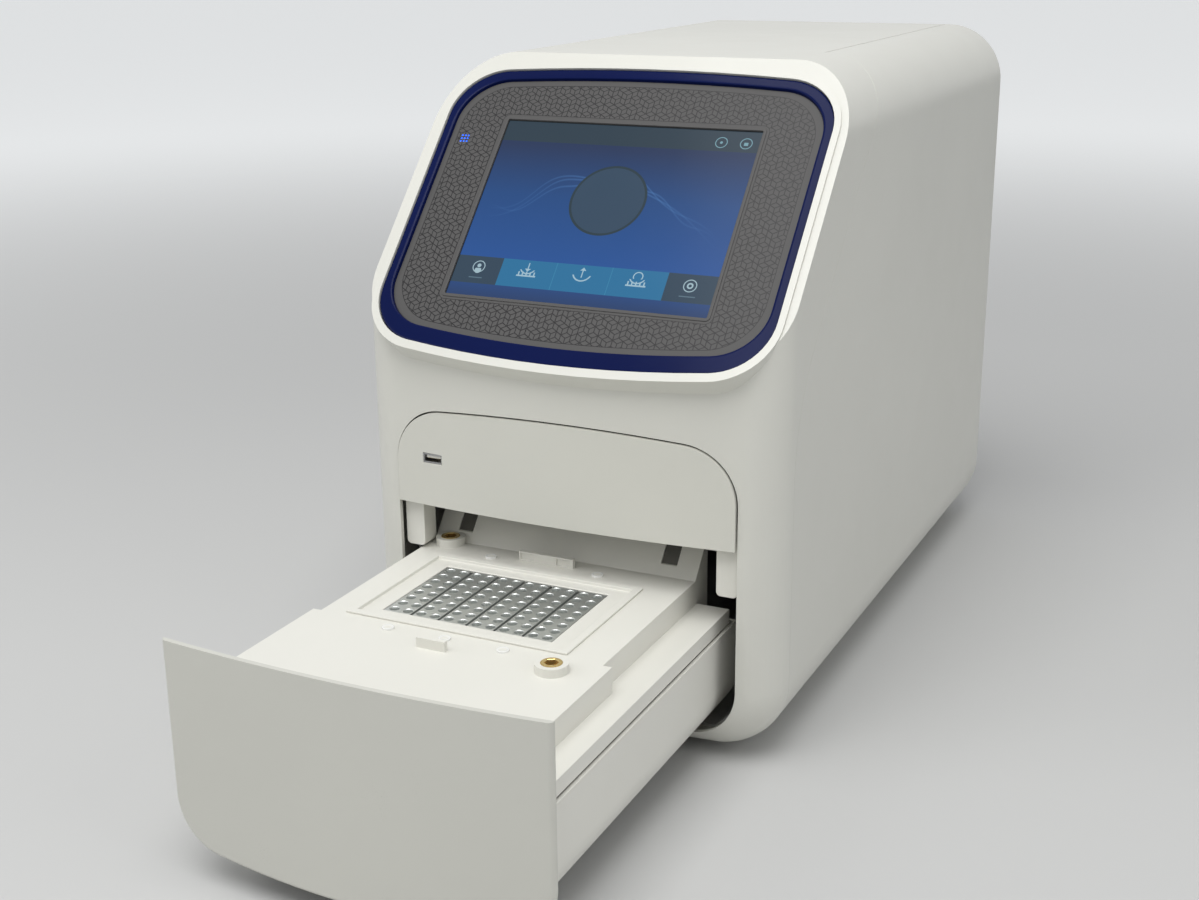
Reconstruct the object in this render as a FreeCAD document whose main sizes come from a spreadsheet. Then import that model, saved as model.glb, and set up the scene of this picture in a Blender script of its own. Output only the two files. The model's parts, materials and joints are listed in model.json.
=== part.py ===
import FreeCAD, Part
import math
import os
import re
import Sketcher

# Benchtop real-time PCR machine, in millimetres.
# X runs from left to right, Y from the front to the back, and Z up from the bench.
# Every Y size below is measured back from the face: the plane through the ends of the visor and,
# when the drawer is shut, of the drawer front. The machine is drawn with its drawer run out.

doc = FreeCAD.newDocument("sample_cycler")

# Driving dimensions
SIZES = {
    # The case and its shell
    "case_width": 274.0,
    "case_depth": 513.0,
    "case_top": 400.0,
    "case_bottom": 6.0,
    "case_wall": 3.0,
    "case_corner": 42.5,
    "front_corner": 25.0,
    "rear_corner": 20.0,
    "front_bow": 6.0,
    "shell_setback": 1.5,
    "seam_gap": 0.4,
    "seam_face": 27.0,
    "seam_setback": 42.0,
    "seam_bend": 110.0,
    "seam_half": 92.0,
    "floor_front": 34.0,
    # The fascia: visor above, drawer front below
    "fascia_width": 223.0,
    "fascia_gap": 1.0,
    "fascia_thick": 3.0,
    "visor_top": 201.0,
    "visor_bottom": 137.5,
    "visor_corner": 34.0,
    "visor_arc": 1014.0,
    "front_top": 136.0,
    "front_bottom": 13.5,
    "front_arc": 722.0,
    "front_round": 30.0,
    # The tilted display
    "display_tilt": 42.6,
    "screen_middle_y": 61.35,
    "screen_middle_z": 315.45,
    "screen_width": 170.0,
    "screen_height": 127.5,
    "lip_half": 132.0,
    "lip_up": 107.5,
    "lip_down": 111.0,
    "lip_corner": 40.0,
    "lip_proud": 1.2,
    "lip_depth": 42.0,
    "lip_arc_up": 1280.0,
    "lip_arc_down": 760.0,
    "ring_half": 128.0,
    "ring_up": 103.5,
    "ring_down": 105.5,
    "ring_corner": 36.0,
    "bezel_half": 121.7,
    "bezel_up": 96.0,
    "bezel_down": 93.5,
    "bezel_corner": 32.0,
    "bezel_sunk": 2.0,
    "bezel_thick": 2.5,
    "panel_thick": 7.0,
    "panel_rim": 7.0,
    "light_pitch": 3.0,
    "light_half": 0.8,
    "light_side": 104.0,
    "light_up": 47.0,
    # The drawer and its deck
    "drawer_travel": 227.0,
    "deck_top": 105.0,
    "deck_wall": 2.5,
    "deck_left": 101.6,
    "deck_right": 77.6,
    "deck_step": 5.3,
    "deck_step_y": 124.0,
    "deck_length": 254.0,
    "deck_skirt": 81.0,
    "ledge_top": 90.0,
    "ledge_right": 98.5,
    "ramp_height": 23.0,
    "ramp_lean": 40.0,
    "ramp_window": 10.5,
    "ramp_window_in": 14.0,
    "tub_half": 100.0,
    "tub_top": 79.5,
    "tub_bottom": 18.0,
    "tub_corner": 28.0,
    "tub_wall": 2.5,
    "tub_end": 264.0,
    "tunnel_half": 74.0,
    "tunnel_top": 38.0,
    # The sample block
    "block_x": -16.0,
    "block_y": 177.0,
    "block_top": 104.0,
    "block_tall": 16.0,
    "well_columns": 12.0,
    "well_rows": 8.0,
    "well_pitch": 9.0,
    "well_radius": 3.0,
    "well_tip": 1.3,
    "well_depth": 14.0,
    "zone_gap": 0.9,
    "block_margin": 0.25,
    "pump_tall": 4.0,
    "sink_base": 8.0,
    "sink_half_x": 58.0,
    "sink_half_y": 43.0,
    "fin_thick": 1.6,
    "fin_pitch": 6.1,
    "fin_count": 19.0,
    "rim_half_x": 70.75,
    "rim_half_y": 50.0,
    "rim_band": 5.0,
    "rim_proud": 1.5,
    "nest_gap": 1.0,
    "nest_fit": 0.2,
    "boss_x": 72.0,
    "boss_y": 70.5,
    "boss_radius": 9.25,
    "boss_height": 5.0,
    "bush_radius": 6.0,
    "bush_bore": 3.1,
    "bush_length": 14.0,
    "pad_x": 36.5,
    "pad_y": 59.0,
    "pad_radius": 3.5,
    "pad_height": 1.0,
    "tab_height": 6.0,
    "tab_thick": 3.0,
    "rear_tab_width": 37.0,
    "rear_tab_y": 62.0,
    "front_tab_width": 18.0,
    "front_tab_y": 71.0,
    "block_fan_size": 50.0,
    "block_fan_hub": 10.0,
    "block_fan_thick": 15.0,
    "block_fan_blades": 5.0,
    "block_fan_gap": 4.0,
    # Slides, rack and pinion under the drawer
    "rail_start": 32.0,
    "rail_length": 220.0,
    "rail_sheet": 1.2,
    "rail_inner": 60.0,
    "rail_low": 18.0,
    "rail_high": 36.0,
    "rail_flange": 6.5,
    "rail_play": 0.4,
    "gear_module": 1.5,
    "rack_back": 1.45,
    "root_depth": 1.25,
    "pinion_root": 1.3,
    "leaf_foot": 1.7,
    "leaf_taper": 0.75,
    "leaf_height": 0.9,
    "pinion_teeth": 12.0,
    "tooth_root": 1.6,
    "tooth_tip": 0.44,
    "pinion_width": 6.0,
    "pinion_x": 20.0,
    "pinion_y": 18.0,
    "rack_teeth": 51.0,
    "shaft_radius": 2.5,
    "motor_radius": 12.0,
    "motor_length": 52.0,
    # Chassis and shelf
    "chassis_half": 118.0,
    "chassis_sheet": 1.5,
    "chassis_front": 30.0,
    "chassis_gap": 1.0,
    "floor_half": 90.0,
    "shelf_level": 150.0,
    "shelf_thick": 2.0,
    "window_gap": 8.0,
    "pillar_in": 98.0,
    "pillar_bottom": 106.5,
    "pillar_front": 6.0,
    "pillar_back": 20.0,
    # Heated cover and its lift
    "cover_stroke": 23.5,
    "cover_clearance": 0.5,
    "cover_thick": 8.0,
    "cover_half_x": 62.0,
    "cover_half_y": 44.0,
    "light_gate": 1.5,
    "post_radius": 4.0,
    "pin_reach": 4.0,
    "pin_radius": 3.0,
    "carriage_level": 186.0,
    "carriage_thick": 6.0,
    "screw_x": 80.0,
    "screw_radius": 4.0,
    "tower_top": 212.0,
    "tower_sheet": 3.0,
    "lift_motor_size": 28.0,
    "lift_motor_tall": 30.0,
    # Optics
    "optics_half": 56.0,
    "optics_front": 118.0,
    "optics_back": 236.0,
    "optics_top": 305.0,
    "optics_sheet": 3.0,
    "beam_level": 262.0,
    "beam_radius": 13.0,
    "wheel_radius": 45.0,
    "wheel_orbit": 33.0,
    "wheel_thick": 4.0,
    "filter_radius": 10.0,
    "filter_count": 6.0,
    "wheel_motor_radius": 15.0,
    "wheel_motor_length": 9.0,
    "lamp_y": 262.0,
    "lamp_length": 42.0,
    "lamp_size": 56.0,
    "lamp_fins": 6.0,
    "lamp_slot_count": 9.0,
    "camera_slot_count": 8.0,
    "supply_slot_count": 10.0,
    "camera_size": 52.0,
    "camera_tall": 34.0,
    "lens_radius": 17.0,
    "lens_length": 22.0,
    # Rear panel and what it carries
    "back_half": 84.0,
    "back_low": 34.0,
    "back_high": 330.0,
    "back_thick": 2.0,
    "back_corner": 10.0,
    "fan_size": 92.0,
    "fan_hub": 18.4,
    "fan_thick": 25.0,
    "fan_x": -30.0,
    "fan_z": 100.0,
    "fan_blade": 1.2,
    "fan_blades": 7.0,
    "blade_gap": 1.0,
    "grille_pitch": 7.0,
    "grille_slot": 4.5,
    "grille_side": 5.0,
    "vent_drop": 24.0,
    "vent_pitch": 10.0,
    "vent_slot": 4.0,
    "vent_count": 6.0,
    "vent_round": 0.45,
    "flange_reach": 7.0,
    "inlet_x": 52.0,
    "inlet_z": 66.0,
    "inlet_width": 27.6,
    "inlet_height": 24.0,
    "inlet_depth": 24.0,
    "inlet_hollow": 16.0,
    "inlet_wall": 2.5,
    "inlet_pin": 7.0,
    "switch_z": 112.0,
    "switch_width": 21.0,
    "switch_height": 27.0,
    "rocker_swing": 12.0,
    "rocker_half": 10.0,
    "rocker_crown": 0.9,
    "rocker_face": 6.0,
    "rocker_pivot": 10.5,
    "supply_half": 60.0,
    "supply_length": 170.0,
    "supply_gap": 14.0,
    "supply_top": 70.0,
    "board_half": 84.0,
    "board_length": 176.0,
    "board_gap": 4.0,
    "board_lift": 6.0,
    "board_thick": 1.6,
    "net_x": 40.0,
    "net_width": 16.0,
    "net_height": 13.5,
    "net_depth": 21.0,
    "usb_x": 12.0,
    "usb_stack_width": 14.5,
    "usb_stack_height": 16.0,
    "fit_gap": 0.3,
    "usb_width": 13.1,
    "usb_height": 5.7,
    "tongue_top": 0.8,
    "usb_depth": 16.0,
    "front_usb_x": -85.0,
    "front_usb_z": 168.3,
    # Feet and screws
    "foot_radius": 11.0,
    "foot_x": 84.0,
    "foot_inset": 46.0,
    "screw_head": 3.0,
    "shank_radius": 1.5,
}

# Places worked out from the driving dimensions
FORMULAS = {
    "face_y": "(drawer_travel + front_bow - case_depth) / 2",
    "bow_radius": "(fascia_width ^ 2 / 4 + front_bow ^ 2) / (2 * front_bow)",
    "bow_middle": "bow_radius - front_bow",
    "block_half_x": "well_columns / 2 * well_pitch + block_margin",
    "block_half_y": "well_rows / 2 * well_pitch + block_margin",
    "block_under": "block_top - block_tall",
    "pump_under": "block_under - pump_tall",
    "sink_under": "pump_under - sink_base",
    "tunnel_roof": "tunnel_top + tub_wall",
    "ramp_run": "ramp_height * tan(ramp_lean)",
    "pitch_radius": "gear_module * pinion_teeth / 2",
    "rack_pitch_z": "tunnel_top - (rack_back + root_depth) * gear_module",
    "pinion_z": "rack_pitch_z - pitch_radius",
    "gear_pitch": "pi * gear_module",
    "rack_start": "pinion_y + drawer_travel - (rack_teeth - 1) * gear_pitch",
    "shelf_top": "shelf_level + shelf_thick",
    "case_floor": "case_bottom + case_wall",
    "rear_inside": "case_depth - case_wall",
    "rear_seat": "case_depth - back_thick",
    "cover_top": "cover_under + cover_thick",
    "boss_top": "deck_top + boss_height",
    "board_under": "shelf_top + board_lift",
    "board_top": "board_under + board_thick",
    "fan_half": "fan_size / 2",
    "fan_front": "rear_inside - fan_thick",
    "wheel_level": "beam_level - wheel_orbit",
    "wheel_front": "lamp_y - wheel_motor_length - wheel_thick - 4 * fit_gap",
    "turret_y": "block_y + wheel_orbit",
    "turret_under": "optics_top + optics_sheet + wheel_motor_length + 2 * fit_gap",
    "turret_top": "turret_under + wheel_thick",
    "camera_deck": "turret_top + lens_length",
    "block_fan_y": "block_y + sink_half_y + block_fan_gap",
    "block_fan_z": "tunnel_roof + block_fan_size / 2",
    "chassis_back": "fan_front - chassis_gap",
    "supply_back": "chassis_back - supply_gap",
    "supply_front": "supply_back - supply_length",
    "board_back": "rear_inside - board_gap",
    "board_front": "board_back - board_length",
    "cover_under": "boss_top + cover_clearance + cover_stroke",
    "bracket_back": "lamp_y + optics_sheet",
    "camera_floor": "camera_deck + optics_sheet",
}

sheet = doc.addObject("Spreadsheet::Sheet", "Sizes")
for row, (alias, value) in enumerate(SIZES.items(), start=1):
    sheet.set(f"A{row}", alias)
    sheet.set(f"B{row}", str(value))
    sheet.setAlias(f"B{row}", alias)
doc.recompute()


def expression(text):
    """Turn plain size names into references to the sheet, and named places into their formulas."""

    def swap(word):
        name = word[0]
        if name in FORMULAS:
            return "(" + expression(FORMULAS[name]) + ")"
        return "Sizes." + name if name in SIZES else name

    return re.sub(r"[A-Za-z_][A-Za-z_0-9]*", swap, str(text))


def number(text):
    """The present value of an expression."""
    return float(sheet.evalExpression(expression(text)))


def bind(item, path, text):
    item.setExpression(path, expression(text))


# Where each moving group stands at rest, measured along Y
CARRIERS = {
    "case": "face_y",
    "drawer": "face_y - drawer_travel",
    "mid_rail": "face_y - drawer_travel / 2",
}

nodes = {}


def node(name, item):
    """Name an object as one of the finished sub-parts."""
    item.Label = name
    nodes[name] = item
    return item


# Primitives and booleans
def block(name, x, y, z, carrier="case"):
    """A box between two places along each axis."""
    box = doc.addObject("Part::Box", name)
    for side, path, (low, high) in (("Length", "x", x), ("Width", "y", y), ("Height", "z", z)):
        bind(box, side, f"({high}) - ({low})")
        shift = f"{CARRIERS[carrier]} + ({low})" if path == "y" else low
        bind(box, f"Placement.Base.{path}", shift)
    return box


TURNS = {
    "x": FreeCAD.Rotation(FreeCAD.Vector(0, 1, 0), 90),
    "y": FreeCAD.Rotation(FreeCAD.Vector(1, 0, 0), -90),
    "z": FreeCAD.Rotation(),
}


def rod(name, along, centre, span, radius, carrier="case"):
    """A round bar along one axis. The centre holds its two other coordinates, in X, Y, Z order."""
    bar = doc.addObject("Part::Cylinder", name)
    bar.Placement = FreeCAD.Placement(FreeCAD.Vector(), TURNS[along])
    low, high = span
    spots = dict(zip([axis for axis in "xyz" if axis != along], centre))
    spots[along] = low
    bind(bar, "Radius", radius)
    bind(bar, "Height", f"({high}) - ({low})")
    for axis, spot in spots.items():
        shift = f"{CARRIERS[carrier]} + ({spot})" if axis == "y" else spot
        bind(bar, f"Placement.Base.{axis}", shift)
    return bar


def fuse(name, *pieces):
    joined = doc.addObject("Part::MultiFuse", name)
    joined.Shapes = list(pieces)
    joined.Refine = True
    return joined


def group(name, *pieces):
    """Separate solids that share a node."""
    bundle = doc.addObject("Part::Compound", name)
    bundle.Links = list(pieces)
    return bundle


def cut(name, base, *tools):
    """The base without the tools, which must take something away."""
    rest = doc.addObject("Part::Cut", name)
    rest.Base = base
    rest.Tool = tools[0] if len(tools) == 1 else group(f"{name}_tools", *tools)
    rest.Refine = True
    doc.recompute()
    if rest.Shape.Volume >= base.Shape.Volume:
        raise ValueError(f"{name}: nothing was cut")
    return rest


def common(name, first, second):
    shared = doc.addObject("Part::Common", name)
    shared.Base = first
    shared.Tool = second
    shared.Refine = True
    return shared


# Bodies with sketches
PLANES = {"XY": (1, "z"), "XZ": (-1, "y"), "YZ": (1, "x")}


def new_body(name, carrier="case", x="0", y="0", z="0"):
    """A body whose own origin stands at a place on its carrier."""
    body = doc.addObject("PartDesign::Body", name)
    bind(body, "Placement.Base.x", x)
    bind(body, "Placement.Base.y", f"{CARRIERS[carrier]} + ({y})")
    bind(body, "Placement.Base.z", z)
    return body


def tilted_body(name):
    """A body whose XY plane is the plane of the screen, with its origin at the screen's middle."""
    body = doc.addObject("PartDesign::Body", name)
    body.Placement.Rotation = FreeCAD.Rotation(FreeCAD.Vector(1, 0, 0), 90 - SIZES["display_tilt"])
    bind(body, "Placement.Base.y", "face_y + screen_middle_y")
    bind(body, "Placement.Base.z", "screen_middle_z")
    bind(body, "Placement.Rotation.Angle", "90 - display_tilt")
    return body


def new_sketch(body, plane, level, draw):
    """A sketch parallel to one of the body's planes, at a level along that plane's axis."""
    sketch = body.newObject("Sketcher::SketchObject", f"{body.Name}_sketch")
    side = [item for item in body.Origin.OriginFeatures if item.Role == f"{plane}_Plane"][0]
    sketch.AttachmentSupport = [(side, "")]
    sketch.MapMode = "FlatFace"
    sign = PLANES[plane][0]
    bind(sketch, "AttachmentOffset.Base.z", f"{sign} * ({level})")
    draw(sketch)
    return sketch


def pad(body, plane, draw, low, high):
    """Material between two levels along the plane's axis."""
    level = high if plane == "XZ" else low
    feature = body.newObject("PartDesign::Pad", f"{body.Name}_pad")
    sketch = new_sketch(body, plane, level, draw)
    feature.Profile = sketch
    bind(feature, "Length", f"({high}) - ({low})")
    sketch.Visibility = False
    doc.recompute()
    return feature


def pocket(body, plane, draw, low, high):
    """A recess between two levels along the plane's axis. It must take something away."""
    before = body.Shape.Volume
    level = low if plane == "XZ" else high
    feature = body.newObject("PartDesign::Pocket", f"{body.Name}_pocket")
    sketch = new_sketch(body, plane, level, draw)
    feature.Profile = sketch
    bind(feature, "Length", f"({high}) - ({low})")
    doc.recompute()
    if body.Shape.Volume >= before - 1e-6:
        raise ValueError(f"{body.Name}: a pocket took nothing away")
    return feature


def in_a_row(body, feature, axis, pitch, count):
    """Copies of the last feature along one of the body's axes."""
    line = [item for item in body.Origin.OriginFeatures if item.Role == f"{axis}_Axis"][0]
    row = body.newObject("PartDesign::LinearPattern", f"{body.Name}_row")
    row.Originals = [feature]
    row.Direction = (line, [""])
    bind(row, "Length", f"({pitch}) * ({count} - 1)")
    bind(row, "Occurrences", count)
    body.Tip = row
    doc.recompute()
    return row


def in_a_ring(body, feature, axis, count):
    """Copies of the last feature round one of the body's axes."""
    line = [item for item in body.Origin.OriginFeatures if item.Role == f"{axis}_Axis"][0]
    ring = body.newObject("PartDesign::PolarPattern", f"{body.Name}_ring")
    ring.Originals = [feature]
    ring.Axis = (line, [""])
    ring.Angle = 360
    bind(ring, "Occurrences", count)
    body.Tip = ring
    doc.recompute()
    return ring


def in_a_grid(body, feature, pitch, columns, rows):
    """Copies of the last feature, in columns along X and rows along Y."""
    grid = body.newObject("PartDesign::MultiTransform", f"{body.Name}_grid")
    steps = []
    for axis, count in (("X", columns), ("Y", rows)):
        line = [item for item in body.Origin.OriginFeatures if item.Role == f"{axis}_Axis"][0]
        step = doc.addObject("PartDesign::LinearPattern", f"{body.Name}_{axis}")
        body.addObject(step)
        step.Direction = (line, [""])
        bind(step, "Length", f"({count} - 1) * ({pitch})")
        bind(step, "Occurrences", count)
        steps.append(step)
    grid.Originals = [feature]
    grid.Transformations = steps
    body.Tip = grid
    doc.recompute()
    return grid


def round_edges(body, radius, chosen):
    """Round the edges that a test picks, by a bound radius."""
    base = body.Tip
    names = [f"Edge{place}" for place, edge in enumerate(base.Shape.Edges, start=1) if chosen(edge)]
    feature = body.newObject("PartDesign::Fillet", f"{body.Name}_fillet")
    feature.Base = (base, names)
    bind(feature, "Radius", radius)
    doc.recompute()
    return feature


# Sketch outlines
def pin_point(sketch, geometry, vertex, across, up):
    """Hold one point at a place given by two expressions."""
    for kind, text in (("DistanceX", across), ("DistanceY", up)):
        if text is None:
            continue
        place = sketch.addConstraint(Sketcher.Constraint(kind, -1, 1, geometry, vertex, number(text)))
        bind(sketch, f"Constraints[{place}]", text)


def hold_radius(sketch, geometry, text):
    place = sketch.addConstraint(Sketcher.Constraint("Radius", geometry, number(text)))
    bind(sketch, f"Constraints[{place}]", text)


def spot(across, up):
    """A point on the sketch, worked out from two expressions."""
    return FreeCAD.Vector(number(across), number(up), 0)


def polygon(*points):
    """A closed outline of straight lines."""

    def draw(sketch):
        count, first = len(points), sketch.GeometryCount
        for place, point in enumerate(points):
            following = points[(place + 1) % count]
            sketch.addGeometry(Part.LineSegment(spot(*point), spot(*following)))
        for place, point in enumerate(points):
            line, following = first + place, first + (place + 1) % count
            sketch.addConstraint(Sketcher.Constraint("Coincident", line, 2, following, 1))
            pin_point(sketch, line, 1, *point)

    return draw


def rectangle(across, up):
    (left, right), (low, high) = across, up
    return polygon((left, low), (right, low), (right, high), (left, high))


def regular(across, up, radius, count):
    """A regular outline with its corners on a circle."""
    turns = [360 / count * (step + 0.5) for step in range(count)]
    return polygon(
        *[(f"{across} + {radius} * cos({turn})", f"{up} + {radius} * sin({turn})") for turn in turns]
    )


def centred(half_x, half_y):
    return rectangle((f"-({half_x})", half_x), (f"-({half_y})", half_y))


def circle(across, up, radius):
    def draw(sketch):
        ring = Part.Circle(spot(across, up), FreeCAD.Vector(0, 0, 1), number(radius))
        place = sketch.addGeometry(ring)
        hold_radius(sketch, place, radius)
        pin_point(sketch, place, 3, across, up)

    return draw


def both(*outlines):
    def draw(sketch):
        for outline in outlines:
            outline(sketch)

    return draw


def quarter(centre, radius, start):
    ring = Part.Circle(centre, FreeCAD.Vector(0, 0, 1), radius)
    return Part.ArcOfCircle(ring, math.radians(start), math.radians(start + 90))


def rounded_rectangle(across, up, radius):
    """A rectangle with one radius at its four corners."""
    (left, right), (low, high) = across, up

    def draw(sketch):
        first = sketch.GeometryCount
        turn = number(radius)
        x0, x1, y0, y1 = number(left), number(right), number(low), number(high)
        centres = [
            (x1 - turn, y0 + turn), (x1 - turn, y1 - turn), (x0 + turn, y1 - turn), (x0 + turn, y0 + turn)
        ]
        ends = [
            ((x0 + turn, y0), (x1 - turn, y0)),
            ((x1, y0 + turn), (x1, y1 - turn)),
            ((x1 - turn, y1), (x0 + turn, y1)),
            ((x0, y1 - turn), (x0, y0 + turn)),
        ]
        for step, ((begin, finish), centre) in enumerate(zip(ends, centres)):
            sketch.addGeometry(Part.LineSegment(FreeCAD.Vector(*begin), FreeCAD.Vector(*finish)))
            sketch.addGeometry(quarter(FreeCAD.Vector(*centre), turn, -90 + 90 * step))
        for step in range(4):
            line, arc, after = first + 2 * step, first + 2 * step + 1, first + (2 * step + 2) % 8
            sketch.addConstraint(Sketcher.Constraint("Tangent", line, 2, arc, 1))
            sketch.addConstraint(Sketcher.Constraint("Tangent", arc, 2, after, 1))
            kind = "Vertical" if step % 2 else "Horizontal"
            sketch.addConstraint(Sketcher.Constraint(kind, line))
            hold_radius(sketch, arc, radius)
        pin_point(sketch, first, 1, None, low)
        pin_point(sketch, first + 2, 1, right, None)
        pin_point(sketch, first + 4, 1, None, high)
        pin_point(sketch, first + 6, 1, left, None)

    return draw


def pillow(half, up, down, corner_up, corner_down, arc_up, arc_down, grow="0"):
    """A rounded outline about the middle line, with gently crowned top and bottom edges.

    It reaches `half` to each side, `up` above and `down` below the sketch's origin at the middle.
    `grow` moves the whole outline outwards.
    """
    wide = f"{half} + ({grow})"
    top = f"{up} + ({grow})"
    bottom = f"-({down}) - ({grow})"
    round_up, round_down = f"{corner_up} + ({grow})", f"{corner_down} + ({grow})"
    crown_up, crown_down = f"{arc_up} + ({grow})", f"{arc_down} + ({grow})"

    def draw(sketch):
        a, y1, y0 = number(wide), number(top), number(bottom)
        r1, r0, c1, c0 = number(round_up), number(round_down), number(crown_up), number(crown_down)
        crown_y = y1 - c1
        cradle_y = y0 + c0
        turn_y = crown_y + math.sqrt((c1 - r1) ** 2 - (a - r1) ** 2)
        bend_y = cradle_y - math.sqrt((c0 - r0) ** 2 - (a - r0) ** 2)
        lean_up = math.atan2(turn_y - crown_y, a - r1)
        lean_down = math.atan2(cradle_y - bend_y, a - r0)
        axis = FreeCAD.Vector(0, 0, 1)

        def arc(x, y, radius, start, finish):
            return Part.ArcOfCircle(Part.Circle(FreeCAD.Vector(x, y, 0), axis, radius), start, finish)

        pieces = [
            Part.LineSegment(FreeCAD.Vector(a, bend_y, 0), FreeCAD.Vector(a, turn_y, 0)),
            arc(a - r1, turn_y, r1, 0, lean_up),
            arc(0, crown_y, c1, lean_up, math.pi - lean_up),
            arc(r1 - a, turn_y, r1, math.pi - lean_up, math.pi),
            Part.LineSegment(FreeCAD.Vector(-a, turn_y, 0), FreeCAD.Vector(-a, bend_y, 0)),
            arc(r0 - a, bend_y, r0, math.pi, math.pi + lean_down),
            arc(0, cradle_y, c0, math.pi + lean_down, 2 * math.pi - lean_down),
            arc(a - r0, bend_y, r0, -lean_down, 0),
        ]
        sketch.addGeometry(pieces)
        for step in range(8):
            sketch.addConstraint(Sketcher.Constraint("Tangent", step, 2, (step + 1) % 8, 1))
        for side, reach in ((0, wide), (4, f"-({wide})")):
            sketch.addConstraint(Sketcher.Constraint("Vertical", side))
            pin_point(sketch, side, 1, reach, None)
        for turned, text in ((1, round_up), (3, round_up), (5, round_down), (7, round_down)):
            hold_radius(sketch, turned, text)
        for crown, radius, level in (
            (2, crown_up, f"{top} - ({crown_up})"), (6, crown_down, f"{bottom} + ({crown_down})")
        ):
            hold_radius(sketch, crown, radius)
            sketch.addConstraint(Sketcher.Constraint("PointOnObject", crown, 3, -2))
            pin_point(sketch, crown, 3, None, level)

    return draw


# The case: one hollow form, split along its seams into shells
def case_form(name, inset):
    """The whole case as a solid, drawn in by `inset` on every side."""
    body = new_body(name)
    outline = rounded_rectangle(
        (f"-case_width / 2 + {inset}", f"case_width / 2 - {inset}"),
        (f"case_bottom + {inset}", f"case_top - {inset}"),
        f"case_corner - {inset}",
    )
    pad(body, "XZ", outline, f"{inset} - front_bow", f"case_depth - {inset}")

    bow = f"bow_radius - shell_setback - {inset}"

    def ahead_of_bow(sketch):
        radius, middle = number(bow), number("bow_middle")
        side = number("case_width / 2")
        edge = middle - math.sqrt(radius**2 - side**2)
        front = -number("4 * front_bow")
        axis = FreeCAD.Vector(0, 0, 1)
        whole = Part.Circle(FreeCAD.Vector(0, middle, 0), axis, radius)
        lean = math.asin(side / radius)
        sketch.addGeometry(Part.ArcOfCircle(whole, 1.5 * math.pi - lean, 1.5 * math.pi + lean))
        corners = [(side, edge), (side, front), (-side, front), (-side, edge)]
        for start, finish in zip(corners, corners[1:]):
            sketch.addGeometry(Part.LineSegment(FreeCAD.Vector(*start), FreeCAD.Vector(*finish)))
        for place, following in ((0, 1), (1, 2), (2, 3)):
            sketch.addConstraint(Sketcher.Constraint("Coincident", place, 2, following, 1))
        sketch.addConstraint(Sketcher.Constraint("Coincident", 3, 2, 0, 1))
        for place, kind in ((1, "Vertical"), (2, "Horizontal"), (3, "Vertical")):
            sketch.addConstraint(Sketcher.Constraint(kind, place))
        hold_radius(sketch, 0, bow)
        pin_point(sketch, 0, 3, "0", "bow_middle")
        pin_point(sketch, 2, 1, "case_width / 2", "-4 * front_bow")
        pin_point(sketch, 2, 2, "-case_width / 2", None)

    pocket(body, "XY", ahead_of_bow, "0", "case_top")
    near = number("front_bow * 2")
    far = number("case_depth - rear_corner")
    round_edges(body, f"front_corner - {inset}", lambda edge: edge.BoundBox.YMax < near)
    round_edges(body, f"rear_corner - {inset}", lambda edge: edge.BoundBox.YMin > far)

    lean = "display_tilt"
    reach = "case_width / 2"
    start = (
        f"screen_middle_y + ({inset}) * cos({lean}) - {reach} * sin({lean})",
        f"screen_middle_z - ({inset}) * sin({lean}) - {reach} * cos({lean})",
    )
    finish = (
        f"screen_middle_y + ({inset}) * cos({lean}) + {reach} * sin({lean})",
        f"screen_middle_z - ({inset}) * sin({lean}) + {reach} * cos({lean})",
    )
    waste = polygon(start, finish, (start[0], finish[1]))
    pocket(body, "YZ", waste, "-case_width", "case_width")
    return body


def display_head(name, inset):
    """The raised pillow round the screen, standing square to the tilted face."""
    body = tilted_body(name)
    outline = pillow(
        "lip_half", "lip_up", "lip_down", "lip_corner", "lip_corner", "lip_arc_up", "lip_arc_down",
        f"-{inset}"
    )
    pad(body, "XY", outline, "-lip_depth", f"lip_proud - {inset}")
    return body


def fascia(name, grow, low, high, front, back, carrier="case"):
    """A slab with the outline that the visor and the closed drawer front make together."""
    body = new_body(name, carrier)
    outline = pillow(
        "fascia_width / 2", "visor_top", "-front_bottom", "visor_corner", "front_round",
        "visor_arc", "front_arc", grow,
    )
    pad(body, "XZ", outline, front, back)
    trim = ("-fascia_width", "fascia_width")
    if low:
        pocket(body, "XZ", rectangle(trim, ("-visor_top", low)), front, back)
    if high:
        pocket(body, "XZ", rectangle(trim, (high, "2 * visor_top")), front, back)
    return body


def bow_cylinder(name, radius, carrier="case"):
    """The upright cylinder whose near side is the bowed face."""
    return rod(name, "z", ("0", "bow_middle"), ("-case_top", "2 * case_top"), radius, carrier)


def seam_tool(name, side, grow):
    """What lies behind the side seam and outside the top and bottom seams, on one side."""
    body = new_body(name)
    lean = "display_tilt"
    setback = f"(seam_setback - ({grow}))"
    line_y = f"screen_middle_y + {setback} * cos({lean})"
    line_z = f"screen_middle_z - {setback} * sin({lean})"
    face = f"seam_face - ({grow})"
    bend_z = f"{line_z} + ({face} - ({line_y})) / tan({lean})"
    above = "case_top + case_corner"
    top_y = f"{line_y} + ({above} - ({line_z})) * tan({lean})"
    outline = polygon(
        (face, "-case_corner"), (face, bend_z), (top_y, above),
        ("case_depth + case_corner", above), ("case_depth + case_corner", "-case_corner"),
    )
    inner, outer = f"seam_half - ({grow})", "case_width"
    if side < 0:
        inner, outer = f"-({outer})", f"-({inner})"
    pad(body, "YZ", outline, inner, outer)
    bend, place = number(bend_z), number(face)
    round_edges(
        body, f"seam_bend - ({grow})",
        lambda edge: edge.BoundBox.ZLength < 1 and edge.BoundBox.YLength < 1
        and abs(edge.BoundBox.ZMin - bend) < 1 and abs(edge.BoundBox.YMin - place) < 1,
    )
    return body


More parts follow.
